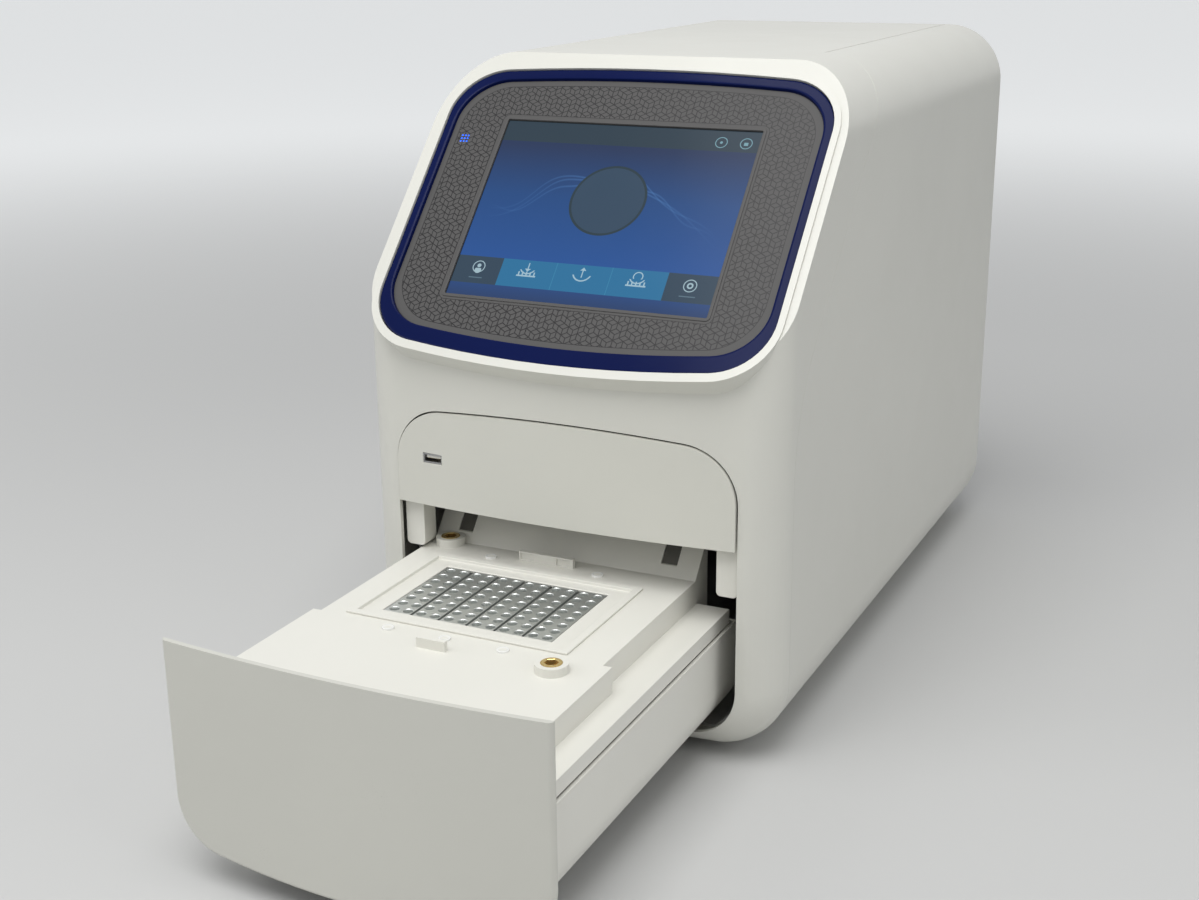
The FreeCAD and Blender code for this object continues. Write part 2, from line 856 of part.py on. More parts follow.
def rear_window(name):
    body = new_body(name)
    outline = rounded_rectangle(("-back_half", "back_half"), ("back_low", "back_high"), "back_corner")
    pad(body, "XZ", outline, "rear_inside - case_wall", "case_depth + case_wall")
    return body


outer_form = fuse("outer_form", case_form("outer_case", "0"), display_head("outer_head", "0"))
inner_form = fuse(
    "inner_form", case_form("inner_case", "case_wall"), display_head("inner_head", "case_wall")
)
screen_hole = tilted_body("screen_hole")
screen_outline = pillow(
    "ring_half", "ring_up", "ring_down", "ring_corner", "ring_corner", "lip_arc_up", "lip_arc_down"
)
pad(screen_hole, "XY", screen_outline, "-2 * case_wall", "4 * case_wall")
face_hole = fascia("face_hole", "fascia_gap", None, None, "-3 * front_bow", "front_corner")
floor_hole = block(
    "floor_hole", ("-seam_half + seam_gap", "seam_half - seam_gap"),
    ("floor_front", "rear_seat - 2 * case_wall"), ("0", "case_floor + seam_gap"),
)
case_shell = cut(
    "case_shell", outer_form, inner_form, screen_hole, face_hole, rear_window("rear_hole"), floor_hole
)
node("right_side_panel", common("right_side", case_shell, seam_tool("right_tool", 1, "0")))
node("left_side_panel", common("left_side", case_shell, seam_tool("left_tool", -1, "0")))
node(
    "front_top_shell",
    cut(
        "front_top", case_shell, seam_tool("right_relief", 1, "seam_gap"),
        seam_tool("left_relief", -1, "seam_gap"),
    ),
)

# Floor, feet and rear panel
base_plate = new_body("base_body")
base_outline = rounded_rectangle(
    ("-seam_half + 2 * seam_gap", "seam_half - 2 * seam_gap"),
    ("floor_front + seam_gap", "rear_seat - 2 * case_wall - seam_gap"), "foot_radius / 2",
)
pad(base_plate, "XY", base_outline, "case_bottom", "case_floor")
node("base_plate", base_plate)

foot_spots = [
    (f"{side} * foot_x", place) for side in (1, -1) for place in ("foot_inset", "case_depth - foot_inset")
]
feet = []
for place, (across, back) in enumerate(foot_spots):
    pad_rod = rod(f"foot_{place}", "z", (across, back), ("0", "case_bottom"), "foot_radius")
    dish = rod(
        f"foot_dish_{place}", "z", (across, back), ("-case_bottom", "case_bottom / 4"), "foot_radius / 3"
    )
    feet.append(cut(f"foot_cup_{place}", pad_rod, dish))
node("feet", group("feet", *feet))

back_body = new_body("back_body")
back_outline = rounded_rectangle(
    ("-back_half + seam_gap", "back_half - seam_gap"), ("back_low + seam_gap", "back_high - seam_gap"),
    "back_corner - seam_gap",
)
pad(back_body, "XZ", back_outline, "rear_inside", "rear_inside + back_thick")
openings = {
    "inlet": (("inlet_x", "inlet_width"), ("inlet_z", "inlet_height")),
    "switch": (("inlet_x", "switch_width"), ("switch_z", "switch_height")),
    "network": (
        ("net_x", "net_width + 2 * fit_gap"), ("board_top + net_height / 2", "net_height + 2 * fit_gap")
    ),
    "usb": (
        ("usb_x", "usb_stack_width + 2 * fit_gap"),
        ("board_top + usb_stack_height / 2", "usb_stack_height + 2 * fit_gap"),
    ),
}
for (across, wide), (level, tall) in openings.values():
    hole = rectangle(
        (f"{across} - ({wide}) / 2", f"{across} + ({wide}) / 2"),
        (f"{level} - ({tall}) / 2", f"{level} + ({tall}) / 2"),
    )
    pocket(back_body, "XZ", hole, "rear_inside", "case_depth")
grille_side = int(SIZES["grille_side"])
for step in range(-grille_side, grille_side + 1):
    reach = f"sqrt((fan_half - 3 * back_thick) ^ 2 - ({step} * grille_pitch) ^ 2)"
    slot = rectangle(
        (
            f"fan_x + {step} * grille_pitch - grille_slot / 2",
            f"fan_x + {step} * grille_pitch + grille_slot / 2",
        ),
        (f"fan_z - {reach}", f"fan_z + {reach}"),
    )
    pocket(back_body, "XZ", slot, "rear_inside", "case_depth")
for step in range(int(SIZES["vent_count"])):
    level = f"back_high - vent_drop - {step} * vent_pitch"
    slot = rounded_rectangle(
        ("-back_half + vent_drop", "back_half - vent_drop"), (level, f"{level} + vent_slot"),
        "vent_round * vent_slot",
    )
    pocket(back_body, "XZ", slot, "rear_inside", "case_depth")
for grow, kind in (("flange_reach", pad), ("-flange_reach", pocket)):
    ring = rectangle(
        (f"-back_half - ({grow})", f"back_half + ({grow})"),
        (f"back_low - ({grow})", f"back_high + ({grow})")
    )
    kind(back_body, "XZ", ring, "rear_inside - back_thick", "rear_inside")
screw_spots = [
    (f"{side} * (back_half - flange_reach / 2)", level)
    for side in (1, -1)
    for level in (
        "back_low + 2 * flange_reach", "(back_low + back_high) / 2", "back_high - 2 * flange_reach"
    )
]
screw_holes = both(*[circle(*place, "shank_radius + fit_gap / 6") for place in screw_spots])
pocket(back_body, "XZ", screw_holes, "rear_inside - back_thick", "case_depth")
node("rear_panel", back_body)

# Visor with its socket, and the frame behind it
visor_slab = fascia("visor_slab", "0", "visor_bottom", None, "-2 * front_bow", "front_corner")
visor_shell = cut(
    "visor_shell", common("visor_bow", visor_slab, bow_cylinder("visor_front", "bow_radius")),
    bow_cylinder("visor_back", "bow_radius - fascia_thick"),
)
visor_bosses = [
    rod(
        f"visor_boss_{side}", "y", (f"{side} * boss_x", "visor_bottom + boss_radius"),
        ("fascia_thick / 2 - front_bow / 2", "pillar_front"), "boss_radius / 2",
    )
    for side in (1, -1)
]
usb_hole = block(
    "usb_hole", ("front_usb_x - usb_width / 2 - fit_gap", "front_usb_x + usb_width / 2 + fit_gap"),
    ("-2 * front_bow", "front_bow"),
    ("front_usb_z - usb_height / 2 - fit_gap", "front_usb_z + usb_height / 2 + fit_gap"),
)
node("visor_panel", cut("visor", fuse("visor_blank", visor_shell, *visor_bosses), usb_hole))

usb_body = new_body("usb_body")
usb_outer = rectangle(
    ("front_usb_x - usb_width / 2", "front_usb_x + usb_width / 2"),
    ("front_usb_z - usb_height / 2", "front_usb_z + usb_height / 2")
)
pad(usb_body, "XZ", usb_outer, "-front_bow / 3", "usb_depth")
usb_mouth = rectangle(
    ("front_usb_x - usb_width / 2 + fit_gap", "front_usb_x + usb_width / 2 - fit_gap"),
    ("front_usb_z - usb_height / 2 + fit_gap", "front_usb_z + usb_height / 2 - fit_gap"),
)
pocket(usb_body, "XZ", usb_mouth, "-front_bow / 3", "usb_depth * 3 / 4")
usb_tongue = rectangle(
    ("front_usb_x - usb_width / 3", "front_usb_x + usb_width / 3"),
    ("front_usb_z", "front_usb_z + usb_height / 3")
)
pad(usb_body, "XZ", usb_tongue, "0", "usb_depth * 3 / 4")
node("front_usb_socket", usb_body)

frame_body = new_body("frame_body")
beam = rectangle(
    ("-fascia_width / 2 + fit_gap", "fascia_width / 2 - fit_gap"), ("visor_bottom", "shelf_top")
)
pad(frame_body, "XZ", beam, "pillar_front", "pillar_back")
for side in (1, -1):
    edges = sorted([f"{side} * pillar_in", f"{side} * (fascia_width / 2 - fit_gap)"], key=number)
    pillar = rounded_rectangle(tuple(edges), ("pillar_bottom", "shelf_top"), "fascia_thick")
    pad(frame_body, "XZ", pillar, "pillar_front", "pillar_back")
node("bay_frame", frame_body)

# Display
ring_body = tilted_body("ring_body")
pad(ring_body, "XY", pillow(
    "ring_half", "ring_up", "ring_down", "ring_corner", "ring_corner", "lip_arc_up", "lip_arc_down",
    "-fit_gap / 3"
), "-panel_thick", "lip_proud / 3")
pocket(ring_body, "XY", pillow(
    "bezel_half", "bezel_up", "bezel_down", "bezel_corner", "bezel_corner", "lip_arc_up", "lip_arc_down"
), "-2 * panel_thick", "case_wall")
node("display_ring", ring_body)

bezel_body = tilted_body("bezel_body")
pad(bezel_body, "XY", pillow(
    "bezel_half", "bezel_up", "bezel_down", "bezel_corner", "bezel_corner", "lip_arc_up", "lip_arc_down",
    "-fit_gap / 3"
), "-bezel_sunk - bezel_thick", "-bezel_sunk")
half_screen = (("-screen_width / 2", "screen_width / 2"), ("-screen_height / 2", "screen_height / 2"))
pocket(bezel_body, "XY", rectangle(*half_screen), "-bezel_sunk - 2 * bezel_thick", "0")
lights = [
    (f"-light_side + ({across} * light_pitch)", f"light_up + ({up} * light_pitch)")
    for across in (-1, 0, 1) for up in (-1, 0, 1)
]
for across, up in lights:
    light_hole = rectangle(
        (f"{across} - light_half", f"{across} + light_half"), (f"{up} - light_half", f"{up} + light_half")
    )
    pocket(bezel_body, "XY", light_hole, "-bezel_sunk - 2 * bezel_thick", "0")
node("display_bezel", bezel_body)

lights_body = tilted_body("lights_body")
light_plate = rectangle(
    ("-light_side - 2 * light_pitch", "-light_side + 2 * light_pitch"),
    ("light_up - 2 * light_pitch", "light_up + 2 * light_pitch")
)
pad(lights_body, "XY", light_plate, "-bezel_sunk - bezel_thick - board_thick", "-bezel_sunk - bezel_thick")
lens_half = "light_half - fit_gap / 6"
for across, up in lights:
    lens = rectangle(
        (f"{across} - ({lens_half})", f"{across} + {lens_half}"),
        (f"{up} - ({lens_half})", f"{up} + {lens_half}"),
    )
    pad(lights_body, "XY", lens, "-bezel_sunk - bezel_thick", "-bezel_sunk")
node("status_lights", lights_body)

screen_body = tilted_body("screen_body")
pad(screen_body, "XY", rectangle(
    ("-screen_width / 2 - panel_rim", "screen_width / 2 + panel_rim"),
    ("-screen_height / 2 - panel_rim", "screen_height / 2 + panel_rim")
), "-bezel_sunk - bezel_thick - panel_thick", "-bezel_sunk - bezel_thick")
pad(screen_body, "XY", rectangle(
    ("-screen_width / 2 + fit_gap", "screen_width / 2 - fit_gap"),
    ("-screen_height / 2 + fit_gap", "screen_height / 2 - fit_gap")
), "-bezel_sunk - bezel_thick", "-bezel_sunk - bezel_thick / 3")
node("touch_screen", screen_body)

# Drawer front, deck and tub
front_slab = fascia("front_slab", "0", None, "front_top", "-2 * front_bow", "front_corner", "drawer")
node("drawer_front", cut(
    "front_shell", common("front_bowed", front_slab, bow_cylinder("front_outside", "bow_radius", "drawer")),
    bow_cylinder("front_inside", "bow_radius - fascia_thick", "drawer"),
))

deck_body = new_body("deck_body", "drawer")


def deck_outline(grow, front):
    """The stepped plan of the deck, with its wider part at the front."""
    left, right = f"-deck_left - ({grow})", f"deck_right + ({grow})"
    return polygon(
        (f"{left} - deck_step", front), (f"{right} + deck_step", front),
        (f"{right} + deck_step", f"deck_step_y + ({grow})"), (right, f"deck_step_y + ({grow})"),
        (right, f"deck_length + ({grow})"), (left, f"deck_length + ({grow})"),
        (left, f"deck_step_y + ({grow})"), (f"{left} - deck_step", f"deck_step_y + ({grow})"),
    )


pad(deck_body, "XY", deck_outline("0", "-front_bow"), "deck_skirt", "deck_top")
pad(
    deck_body, "XY", rectangle(("0", "ledge_right"), ("-front_bow", "deck_length")), "deck_skirt",
    "ledge_top",
)
ramp_foot = "deck_length - deck_wall"
ramp_skin = "deck_wall / cos(ramp_lean)"
ramp_outline = polygon(
    (ramp_foot, "deck_top - deck_wall"), (ramp_foot, "deck_top"),
    (f"{ramp_foot} + ramp_run", "deck_top + ramp_height"),
    (f"{ramp_foot} + ramp_run + {ramp_skin}", "deck_top + ramp_height"),
    (f"{ramp_foot} + {ramp_skin}", "deck_top"),
    (f"{ramp_foot} + {ramp_skin}", "deck_top - deck_wall"),
)
pad(deck_body, "YZ", ramp_outline, "-deck_left", "deck_right")
cheek = polygon(
    (ramp_foot, "deck_skirt"), (ramp_foot, "deck_top"),
    (f"{ramp_foot} + ramp_run", "deck_top + ramp_height"),
    (f"{ramp_foot} + ramp_run", "deck_skirt"),
)
pad(deck_body, "YZ", cheek, "deck_right - deck_wall", "deck_right")
pad(deck_body, "YZ", cheek, "-deck_left", "-deck_left + deck_wall")
pocket(deck_body, "XY", deck_outline("-deck_wall", "-2 * front_bow"), "0", "deck_top - deck_wall")
ledge_hollow = rectangle(("0", "ledge_right - deck_wall"), ("-2 * front_bow", "deck_length - deck_wall"))
pocket(deck_body, "XY", ledge_hollow, "0", "ledge_top - deck_wall")
for inner in ("-deck_left + ramp_window_in", "deck_right - ramp_window_in - ramp_window"):
    window = rectangle(
        (inner, f"{inner} + ramp_window"), ("deck_top + ramp_height / 4", "deck_top + ramp_height * 3 / 4")
    )
    pocket(deck_body, "XZ", window, "deck_length", "2 * deck_length")
nest = rectangle(
    ("block_x - rim_half_x + rim_band - nest_gap", "block_x + rim_half_x - rim_band + nest_gap"),
    ("block_y - rim_half_y + rim_band - nest_gap", "block_y + rim_half_y - rim_band + nest_gap"),
)
pocket(deck_body, "XY", nest, "deck_skirt", "2 * deck_top")
boss_spots = [
    ("block_x - boss_x", "block_y + boss_y"),
    ("block_x + boss_x", "block_y - boss_y"),
]
for spot_x, spot_y in boss_spots:
    pad(deck_body, "XY", circle(spot_x, spot_y, "boss_radius"), "boss_top - bush_length", "boss_top")
    pocket(
        deck_body, "XY", circle(spot_x, spot_y, "bush_radius + fit_gap / 6"), "deck_skirt", "2 * deck_top"
    )
pad_spots = [("block_x - pad_x", "pad_y"), ("block_x + pad_x", "pad_y")]
pad_spots += [(f"block_x + {side} * pad_x", "-pad_y") for side in (-1, 0, 1)]
for spot_x, spot_y in pad_spots:
    pad(
        deck_body, "XY", circle(spot_x, f"block_y + {spot_y}", "pad_radius"), "deck_top - deck_wall",
        "deck_top + pad_height",
    )
for wide, spot_y in (
    ("rear_tab_width", "block_y + rear_tab_y"), ("front_tab_width", "block_y - front_tab_y - tab_thick")
):
    tab = rectangle((f"block_x - {wide} / 2", f"block_x + {wide} / 2"), (spot_y, f"{spot_y} + tab_thick"))
    pad(deck_body, "XY", tab, "deck_top - deck_wall", "deck_top + tab_height")
node(
    "deck_cover",
    common("deck", deck_body, bow_cylinder("deck_front", "bow_radius - fascia_thick", "drawer")),
)

tub_body = new_body("tub_body", "drawer")
for inset, kind in (("0", pad), ("tub_wall", pocket)):
    section = rounded_rectangle(
        (f"-tub_half + {inset}", f"tub_half - {inset}"),
        (f"tub_bottom + {inset}", "tub_top + 2 * tub_corner"),
        f"tub_corner - {inset}",
    )
    kind(tub_body, "XZ", section, f"-front_bow + {inset}", f"tub_end - {inset}")
pocket(
    tub_body, "XZ", rectangle(("-case_width", "case_width"), ("tub_top", "case_top")), "-2 * front_bow",
    "2 * tub_end",
)
hat = rectangle(("-tunnel_half - tub_wall", "tunnel_half + tub_wall"), ("tub_bottom", "tunnel_roof"))
pad(tub_body, "XZ", hat, "-front_bow", "tub_end")
tunnel = rectangle(("-tunnel_half", "tunnel_half"), ("0", "tunnel_top"))
pocket(tub_body, "XZ", tunnel, "-2 * front_bow", "2 * tub_end")
outlet = circle("block_x", "block_fan_z", "tub_top - block_fan_z - tub_wall")
pocket(tub_body, "XZ", outlet, "tub_end - 2 * tub_wall", "2 * tub_end")
node(
    "drawer_tub", common("tub", tub_body, bow_cylinder("tub_front", "bow_radius - fascia_thick", "drawer"))
)

rim_body = new_body("rim_body", "drawer", "block_x", "block_y")
seat_level = "deck_top - deck_wall"
pad(
    rim_body, "XY",
    centred("rim_half_x - rim_band + nest_gap - nest_fit", "rim_half_y - rim_band + nest_gap - nest_fit"),
    seat_level, "deck_top",
)
pad(rim_body, "XY", centred("rim_half_x", "rim_half_y"), "deck_top", "deck_top + rim_proud")
pocket(
    rim_body, "XY", centred("rim_half_x - rim_band", "rim_half_y - rim_band"), "block_top + rim_proud / 3",
    "2 * deck_top",
)
pocket(rim_body, "XY", centred("block_half_x + fit_gap", "block_half_y + fit_gap"), "0", "2 * deck_top")
node("plate_frame", rim_body)

bushings = [
    cut(
        f"bushing_{place}",
        rod(
            f"bush_{place}", "z", spots, ("boss_top - bush_length", "boss_top + fit_gap"), "bush_radius",
            "drawer",
        ),
        rod(f"bush_bore_{place}", "z", spots, ("0", "2 * boss_top"), "bush_bore", "drawer"),
    )
    for place, spots in enumerate(boss_spots)
]
node("locating_bushings", group("bushings", *bushings))

# Sample block: six zones of two columns, each with its row of conical wells, over its heat pumps
zones = []
zone_count = int(SIZES["well_columns"] / 2)
zone_middles = [f"(block_x + {2 * zone + 1 - zone_count} * well_pitch)" for zone in range(zone_count)]
first_row = "-(well_rows - 1) / 2 * well_pitch"
for zone, middle in enumerate(zone_middles):
    body = new_body(f"zone_{zone}", "drawer", middle, "block_y")
    if zone in (0, zone_count - 1):
        outward = -1 if zone == 0 else 1
        sides = sorted(
            [f"{-outward} * (well_pitch - zone_gap / 2)", f"{outward} * (well_pitch + block_margin)"],
            key=number,
        )
    else:
        sides = ["-well_pitch + zone_gap / 2", "well_pitch - zone_gap / 2"]
    pad(body, "XY", rectangle(tuple(sides), ("-block_half_y", "block_half_y")), "block_under", "block_top")
    well_top = regular("-well_pitch / 2", first_row, "well_radius", 12)
    well_floor = regular("-well_pitch / 2", first_row, "well_tip", 12)
    well = body.newObject("PartDesign::SubtractiveLoft", f"{body.Name}_well")
    well.Profile = new_sketch(body, "XY", "block_top", well_top)
    well.Sections = [new_sketch(body, "XY", "block_top - well_depth", well_floor)]
    doc.recompute()
    in_a_grid(body, well, "well_pitch", "2", "well_rows")
    zones.append(body)
doc.recompute()
node("sample_block", group("block_zones", *zones))

pumps = [
    block(
        f"pump_{zone}",
        (f"{middle} - well_pitch + zone_gap", f"{middle} + well_pitch - zone_gap"),
        ("block_y - block_half_y + zone_gap", "block_y + block_half_y - zone_gap"),
        ("pump_under", "block_under"), "drawer",
    )
    for zone, middle in enumerate(zone_middles)
]
node("heat_pumps", group("pumps", *pumps))

sink_body = new_body("sink_body", "drawer", "block_x", "block_y")
pad(sink_body, "XY", centred("sink_half_x", "sink_half_y"), "sink_under", "pump_under")
fin = pad(
    sink_body, "XY",
    rectangle(("-sink_half_x", "-sink_half_x + fin_thick"), ("-sink_half_y", "sink_half_y")),
    "tunnel_roof", "sink_under",
)
in_a_row(sink_body, fin, "X", "fin_pitch", "fin_count")
node("heat_sink", sink_body)


# Fans: a square frame with a motor cup on four arms, and a bladed rotor on its own axle
def fan_frame(name, carrier, across, front, level, size, hub, thick):
    """The square frame of a fan, with its bore, four screw holes and the motor held by arms."""
    body = new_body(name, carrier, across, front, level)
    half = f"({size}) / 2"
    pad(body, "XZ", centred(half, half), "0", thick)
    pocket(body, "XZ", circle("0", "0", f"{half} - deck_wall"), "0", thick)
    pad(body, "XZ", circle("0", "0", hub), "0", "deck_wall")
    for reach in ((half, "deck_wall / 2"), ("deck_wall / 2", half)):
        pad(body, "XZ", centred(*reach), "0", "deck_wall")
    pocket(body, "XZ", circle("0", "0", "shaft_radius + fit_gap / 6"), "0", thick)
    return body


def fan_rotor(name, carrier, across, front, level, size, hub, thick, blades):
    """The rotor of a fan: a hub with a ring of leaning blades."""
    body = new_body(name, carrier, across, front, level)
    tip = f"({size}) / 2 - deck_wall - blade_gap"
    start, finish = "deck_wall + fit_gap", f"({thick}) - fit_gap"
    pad(body, "XZ", circle("0", "0", "shaft_radius"), "fit_gap", start)
    pad(body, "XZ", circle("0", "0", hub), start, finish)
    slant = polygon(
        (start, f"-({hub}) / 2"), (f"{start} + 2 * fan_blade", f"-({hub}) / 2"),
        (finish, f"({hub}) / 2"), (f"{finish} - 2 * fan_blade", f"({hub}) / 2"),
    )
    blade = pad(body, "YZ", slant, f"({hub}) / 2", tip)
    in_a_ring(body, blade, "Y", blades)
    return body


node("block_fan_frame", fan_frame(
    "block_frame", "drawer", "block_x", "block_fan_y", "block_fan_z", "block_fan_size", "block_fan_hub",
    "block_fan_thick",
))
node("block_fan_rotor", fan_rotor(
    "block_rotor", "drawer", "block_x", "block_fan_y", "block_fan_z", "block_fan_size", "block_fan_hub",
    "block_fan_thick", "block_fan_blades",
))
node(
    "exhaust_fan_frame",
    fan_frame("exhaust_frame", "case", "fan_x", "fan_front", "fan_z", "fan_size", "fan_hub", "fan_thick"),
)
node("exhaust_fan_rotor", fan_rotor(
    "exhaust_rotor", "case", "fan_x", "fan_front", "fan_z", "fan_size", "fan_hub", "fan_thick", "fan_blades",
))


# Slides under the drawer, in three nested members on each side
def rail_pair(name, carrier, outline, start):
    pair = []
    for side in (1, -1):
        body = new_body(f"{name}_{'left' if side < 0 else 'right'}", carrier)
        for pair_kind, points in outline:
            placed = [(f"{side} * ({across})", up) for across, up in points]
            if pair_kind == "pad":
                pad(body, "XZ", polygon(*placed), start, f"{start} + rail_length")
            else:
                pocket(
                    body, "XZ", polygon(*placed), f"{start} - rail_sheet",
                    f"{start} + rail_length + rail_sheet",
                )
        pair.append(body)
    return node(name, group(f"{name}_pair", *pair))


inner, flange_end = "rail_inner", "rail_inner + rail_flange"
outer_profile = [
    (inner, "case_floor + chassis_sheet"), (f"{inner} + rail_sheet", "case_floor + chassis_sheet"),
    (f"{inner} + rail_sheet", "rail_low"), (flange_end, "rail_low"), (flange_end, "rail_low + rail_sheet"),
    (f"{inner} + rail_sheet", "rail_low + rail_sheet"), (f"{inner} + rail_sheet", "rail_high - rail_sheet"),
    (flange_end, "rail_high - rail_sheet"), (flange_end, "rail_high"), (inner, "rail_high"),
]
rail_pair("outer_rails", "case", [("pad", outer_profile)], "rail_start")


def ring_section(grow):
    inner_side = f"rail_inner + rail_sheet + rail_play + {grow}"
    outer_side = f"tunnel_half - rail_sheet - rail_play - {grow}"
    low_side = f"rail_low + rail_sheet + rail_play + {grow}"
    high_side = f"rail_high - rail_sheet - rail_play - {grow}"
    return [(inner_side, low_side), (outer_side, low_side), (outer_side, high_side), (inner_side, high_side)]


rail_pair(
    "mid_rails", "mid_rail", [("pad", ring_section("0")), ("pocket", ring_section("rail_sheet"))],
    "rail_start",
)
web, lip = "tunnel_half - rail_sheet", "tunnel_half - rail_flange"
inner_profile = [
    ("tunnel_half", "rail_low"), ("tunnel_half", "rail_high"), (lip, "rail_high"),
    (lip, "rail_high - rail_sheet"),
    (web, "rail_high - rail_sheet"), (web, "rail_low + rail_sheet"), (lip, "rail_low + rail_sheet"),
    (lip, "rail_low"),
]
rail_pair("inner_rails", "drawer", [("pad", inner_profile)], "rail_start")

# Rack under the tub, the pinion that drives it and its motor
rack_body = new_body("rack_body", "drawer", "pinion_x")
half_rack = "pinion_width / 2"
rack_root = "rack_pitch_z + root_depth * gear_module"
rack_length = "rack_start + rack_teeth * gear_pitch"
pad(
    rack_body, "XY", rectangle((f"-{half_rack}", half_rack), ("rack_start", rack_length)), rack_root,
    "tunnel_top",
)
rack_middle = "rack_start + gear_pitch / 2"
tooth = polygon(
    (f"{rack_middle} - tooth_root", rack_root),
    (f"{rack_middle} - tooth_tip", "rack_pitch_z - gear_module"),
    (f"{rack_middle} + tooth_tip", "rack_pitch_z - gear_module"),
    (f"{rack_middle} + tooth_root", rack_root),
)
rack_tooth = pad(rack_body, "YZ", tooth, f"-{half_rack}", half_rack)
in_a_row(rack_body, rack_tooth, "Y", "gear_pitch", "rack_teeth")
node("drawer_rack", rack_body)

pinion_body = new_body("pinion_body", "case", "pinion_x", "pinion_y", "pinion_z")
pinion_core = circle("0", "0", "pitch_radius - pinion_root * gear_module")
pad(pinion_body, "YZ", pinion_core, f"-{half_rack}", half_rack)
leaf = polygon(
    ("-leaf_taper * tooth_root", "pitch_radius - leaf_foot * gear_module"),
    ("leaf_taper * tooth_root", "pitch_radius - leaf_foot * gear_module"),
    ("tooth_tip", "pitch_radius + leaf_height * gear_module"),
    ("-tooth_tip", "pitch_radius + leaf_height * gear_module"),
)
pinion_leaf = pad(pinion_body, "YZ", leaf, f"-{half_rack}", half_rack)
in_a_ring(pinion_body, pinion_leaf, "X", "pinion_teeth")
pad(pinion_body, "YZ", circle("0", "0", "shaft_radius"), f"-{half_rack} - 4 * shaft_radius", half_rack)
node("drive_pinion", pinion_body)

motor_end = "pinion_x - pinion_width / 2 - fit_gap"
motor_barrel = rod(
    "motor_barrel", "x", ("pinion_y", "pinion_z"), (f"{motor_end} - motor_length", motor_end),
    "motor_radius"
)
motor_foot = block(
    "motor_foot", (f"{motor_end} - motor_length * 3 / 4", f"{motor_end} - motor_length / 4"),
    ("pinion_y + motor_radius / 2", "chassis_front"), ("case_floor", "pinion_z"),
)
motor_bore = rod(
    "motor_bore", "x", ("pinion_y", "pinion_z"), (f"{motor_end} - 5 * shaft_radius", "pinion_x"),
    "shaft_radius + fit_gap / 6",
)
node("drawer_motor", cut("motor", fuse("motor_blank", motor_barrel, motor_foot), motor_bore))

# Chassis, shelf and the window through which the heated cover hangs
chassis_body = new_body("chassis_body")
slope_top = "case_floor + chassis_half - floor_half"
bevel = "chassis_sheet * tan(22.5)"
chassis_side = [("chassis_half", "shelf_level"), ("chassis_half", slope_top), ("floor_half", "case_floor")]
chassis_inner = [
    ("chassis_half - chassis_sheet", "shelf_level"),
    ("chassis_half - chassis_sheet", f"{slope_top} + {bevel}"),
    (f"floor_half - {bevel}", "case_floor + chassis_sheet"),
]
mirrored = [[(f"-({across})", up) for across, up in points] for points in (chassis_side, chassis_inner)]
section = chassis_side + mirrored[0][::-1] + mirrored[1] + chassis_inner[::-1]
pad(chassis_body, "XZ", polygon(*section), "chassis_front", "chassis_back")
node("chassis", chassis_body)

shelf_body = new_body("shelf_body")
pad(
    shelf_body, "XY", rectangle(("-chassis_half", "chassis_half"), ("pillar_back", "chassis_back")),
    "shelf_level", "shelf_top",
)
cover_window = rectangle(
    ("block_x - cover_half_x - window_gap", "block_x + cover_half_x + window_gap"),
    ("block_y - cover_half_y - window_gap", "block_y + cover_half_y + window_gap")
)
pocket(shelf_body, "XY", cover_window, "shelf_level", "shelf_top")
node("optics_shelf", shelf_body)

# Heated cover: a plate with an aperture over each well, ears with guide pins, posts and a carriage
plate_body = new_body("plate_body", "case", "block_x", "block_y")
pad(plate_body, "XY", centred("cover_half_x", "cover_half_y"), "cover_under", "cover_top")
for side in (1, -1):
    ear = sorted([f"{side} * boss_x - 2 * pin_radius", f"{side} * boss_x + 2 * pin_radius"], key=number)
    if side > 0:
        ear[0] = "cover_half_x - 4 * pin_radius"
    else:
        ear[1] = "-cover_half_x + 4 * pin_radius"
    depth = sorted(
        [f"{-side} * (boss_y + 2 * pin_radius)", f"{-side} * (cover_half_y - pin_radius)"], key=number
    )
    pad(plate_body, "XY", rectangle(tuple(ear), tuple(depth)), "cover_under", "cover_top")
first_column = "-(well_columns - 1) / 2 * well_pitch"
aperture = rectangle(
    (f"{first_column} - light_gate", f"{first_column} + light_gate"),
    (f"{first_row} - light_gate", f"{first_row} + light_gate")
)
gate = pocket(plate_body, "XY", aperture, "0", "cover_top")
in_a_grid(plate_body, gate, "well_pitch", "well_columns", "well_rows")
node("heated_plate", plate_body)

pins = [
    rod(f"guide_pin_{place}", "z", spots, ("cover_under - pin_reach", "cover_under"), "pin_radius")
    for place, spots in enumerate(boss_spots)
]
node("guide_pins", group("pins", *pins))

carriage_body = new_body("carriage_body", "case", "block_x", "block_y")
pad(
    carriage_body, "XY", centred("screw_x + 3 * screw_radius", "cover_half_y"), "carriage_level",
    "carriage_level + carriage_thick",
)
pocket(
    carriage_body, "XY", centred("cover_half_x - 4 * post_radius", "cover_half_y - 2.5 * post_radius"), "0",
    "2 * carriage_level",
)
post_spots = [
    (f"{side} * (cover_half_x - 2 * post_radius)", f"{end} * (cover_half_y - 1.2 * post_radius)")
    for side in (1, -1) for end in (1, -1)
]
pad(
    carriage_body, "XY", both(*[circle(*place, "post_radius") for place in post_spots]), "cover_top",
    "carriage_level",
)
for side in (1, -1):
    pad(
        carriage_body, "XY", circle(f"{side} * screw_x", "0", "2 * screw_radius"),
        "carriage_level - carriage_thick", "carriage_level",
    )
for side in (1, -1):
    pocket(
        carriage_body, "XY", circle(f"{side} * screw_x", "0", "screw_radius + fit_gap / 6"), "0",
        "2 * carriage_level",
    )
node("cover_carriage", carriage_body)

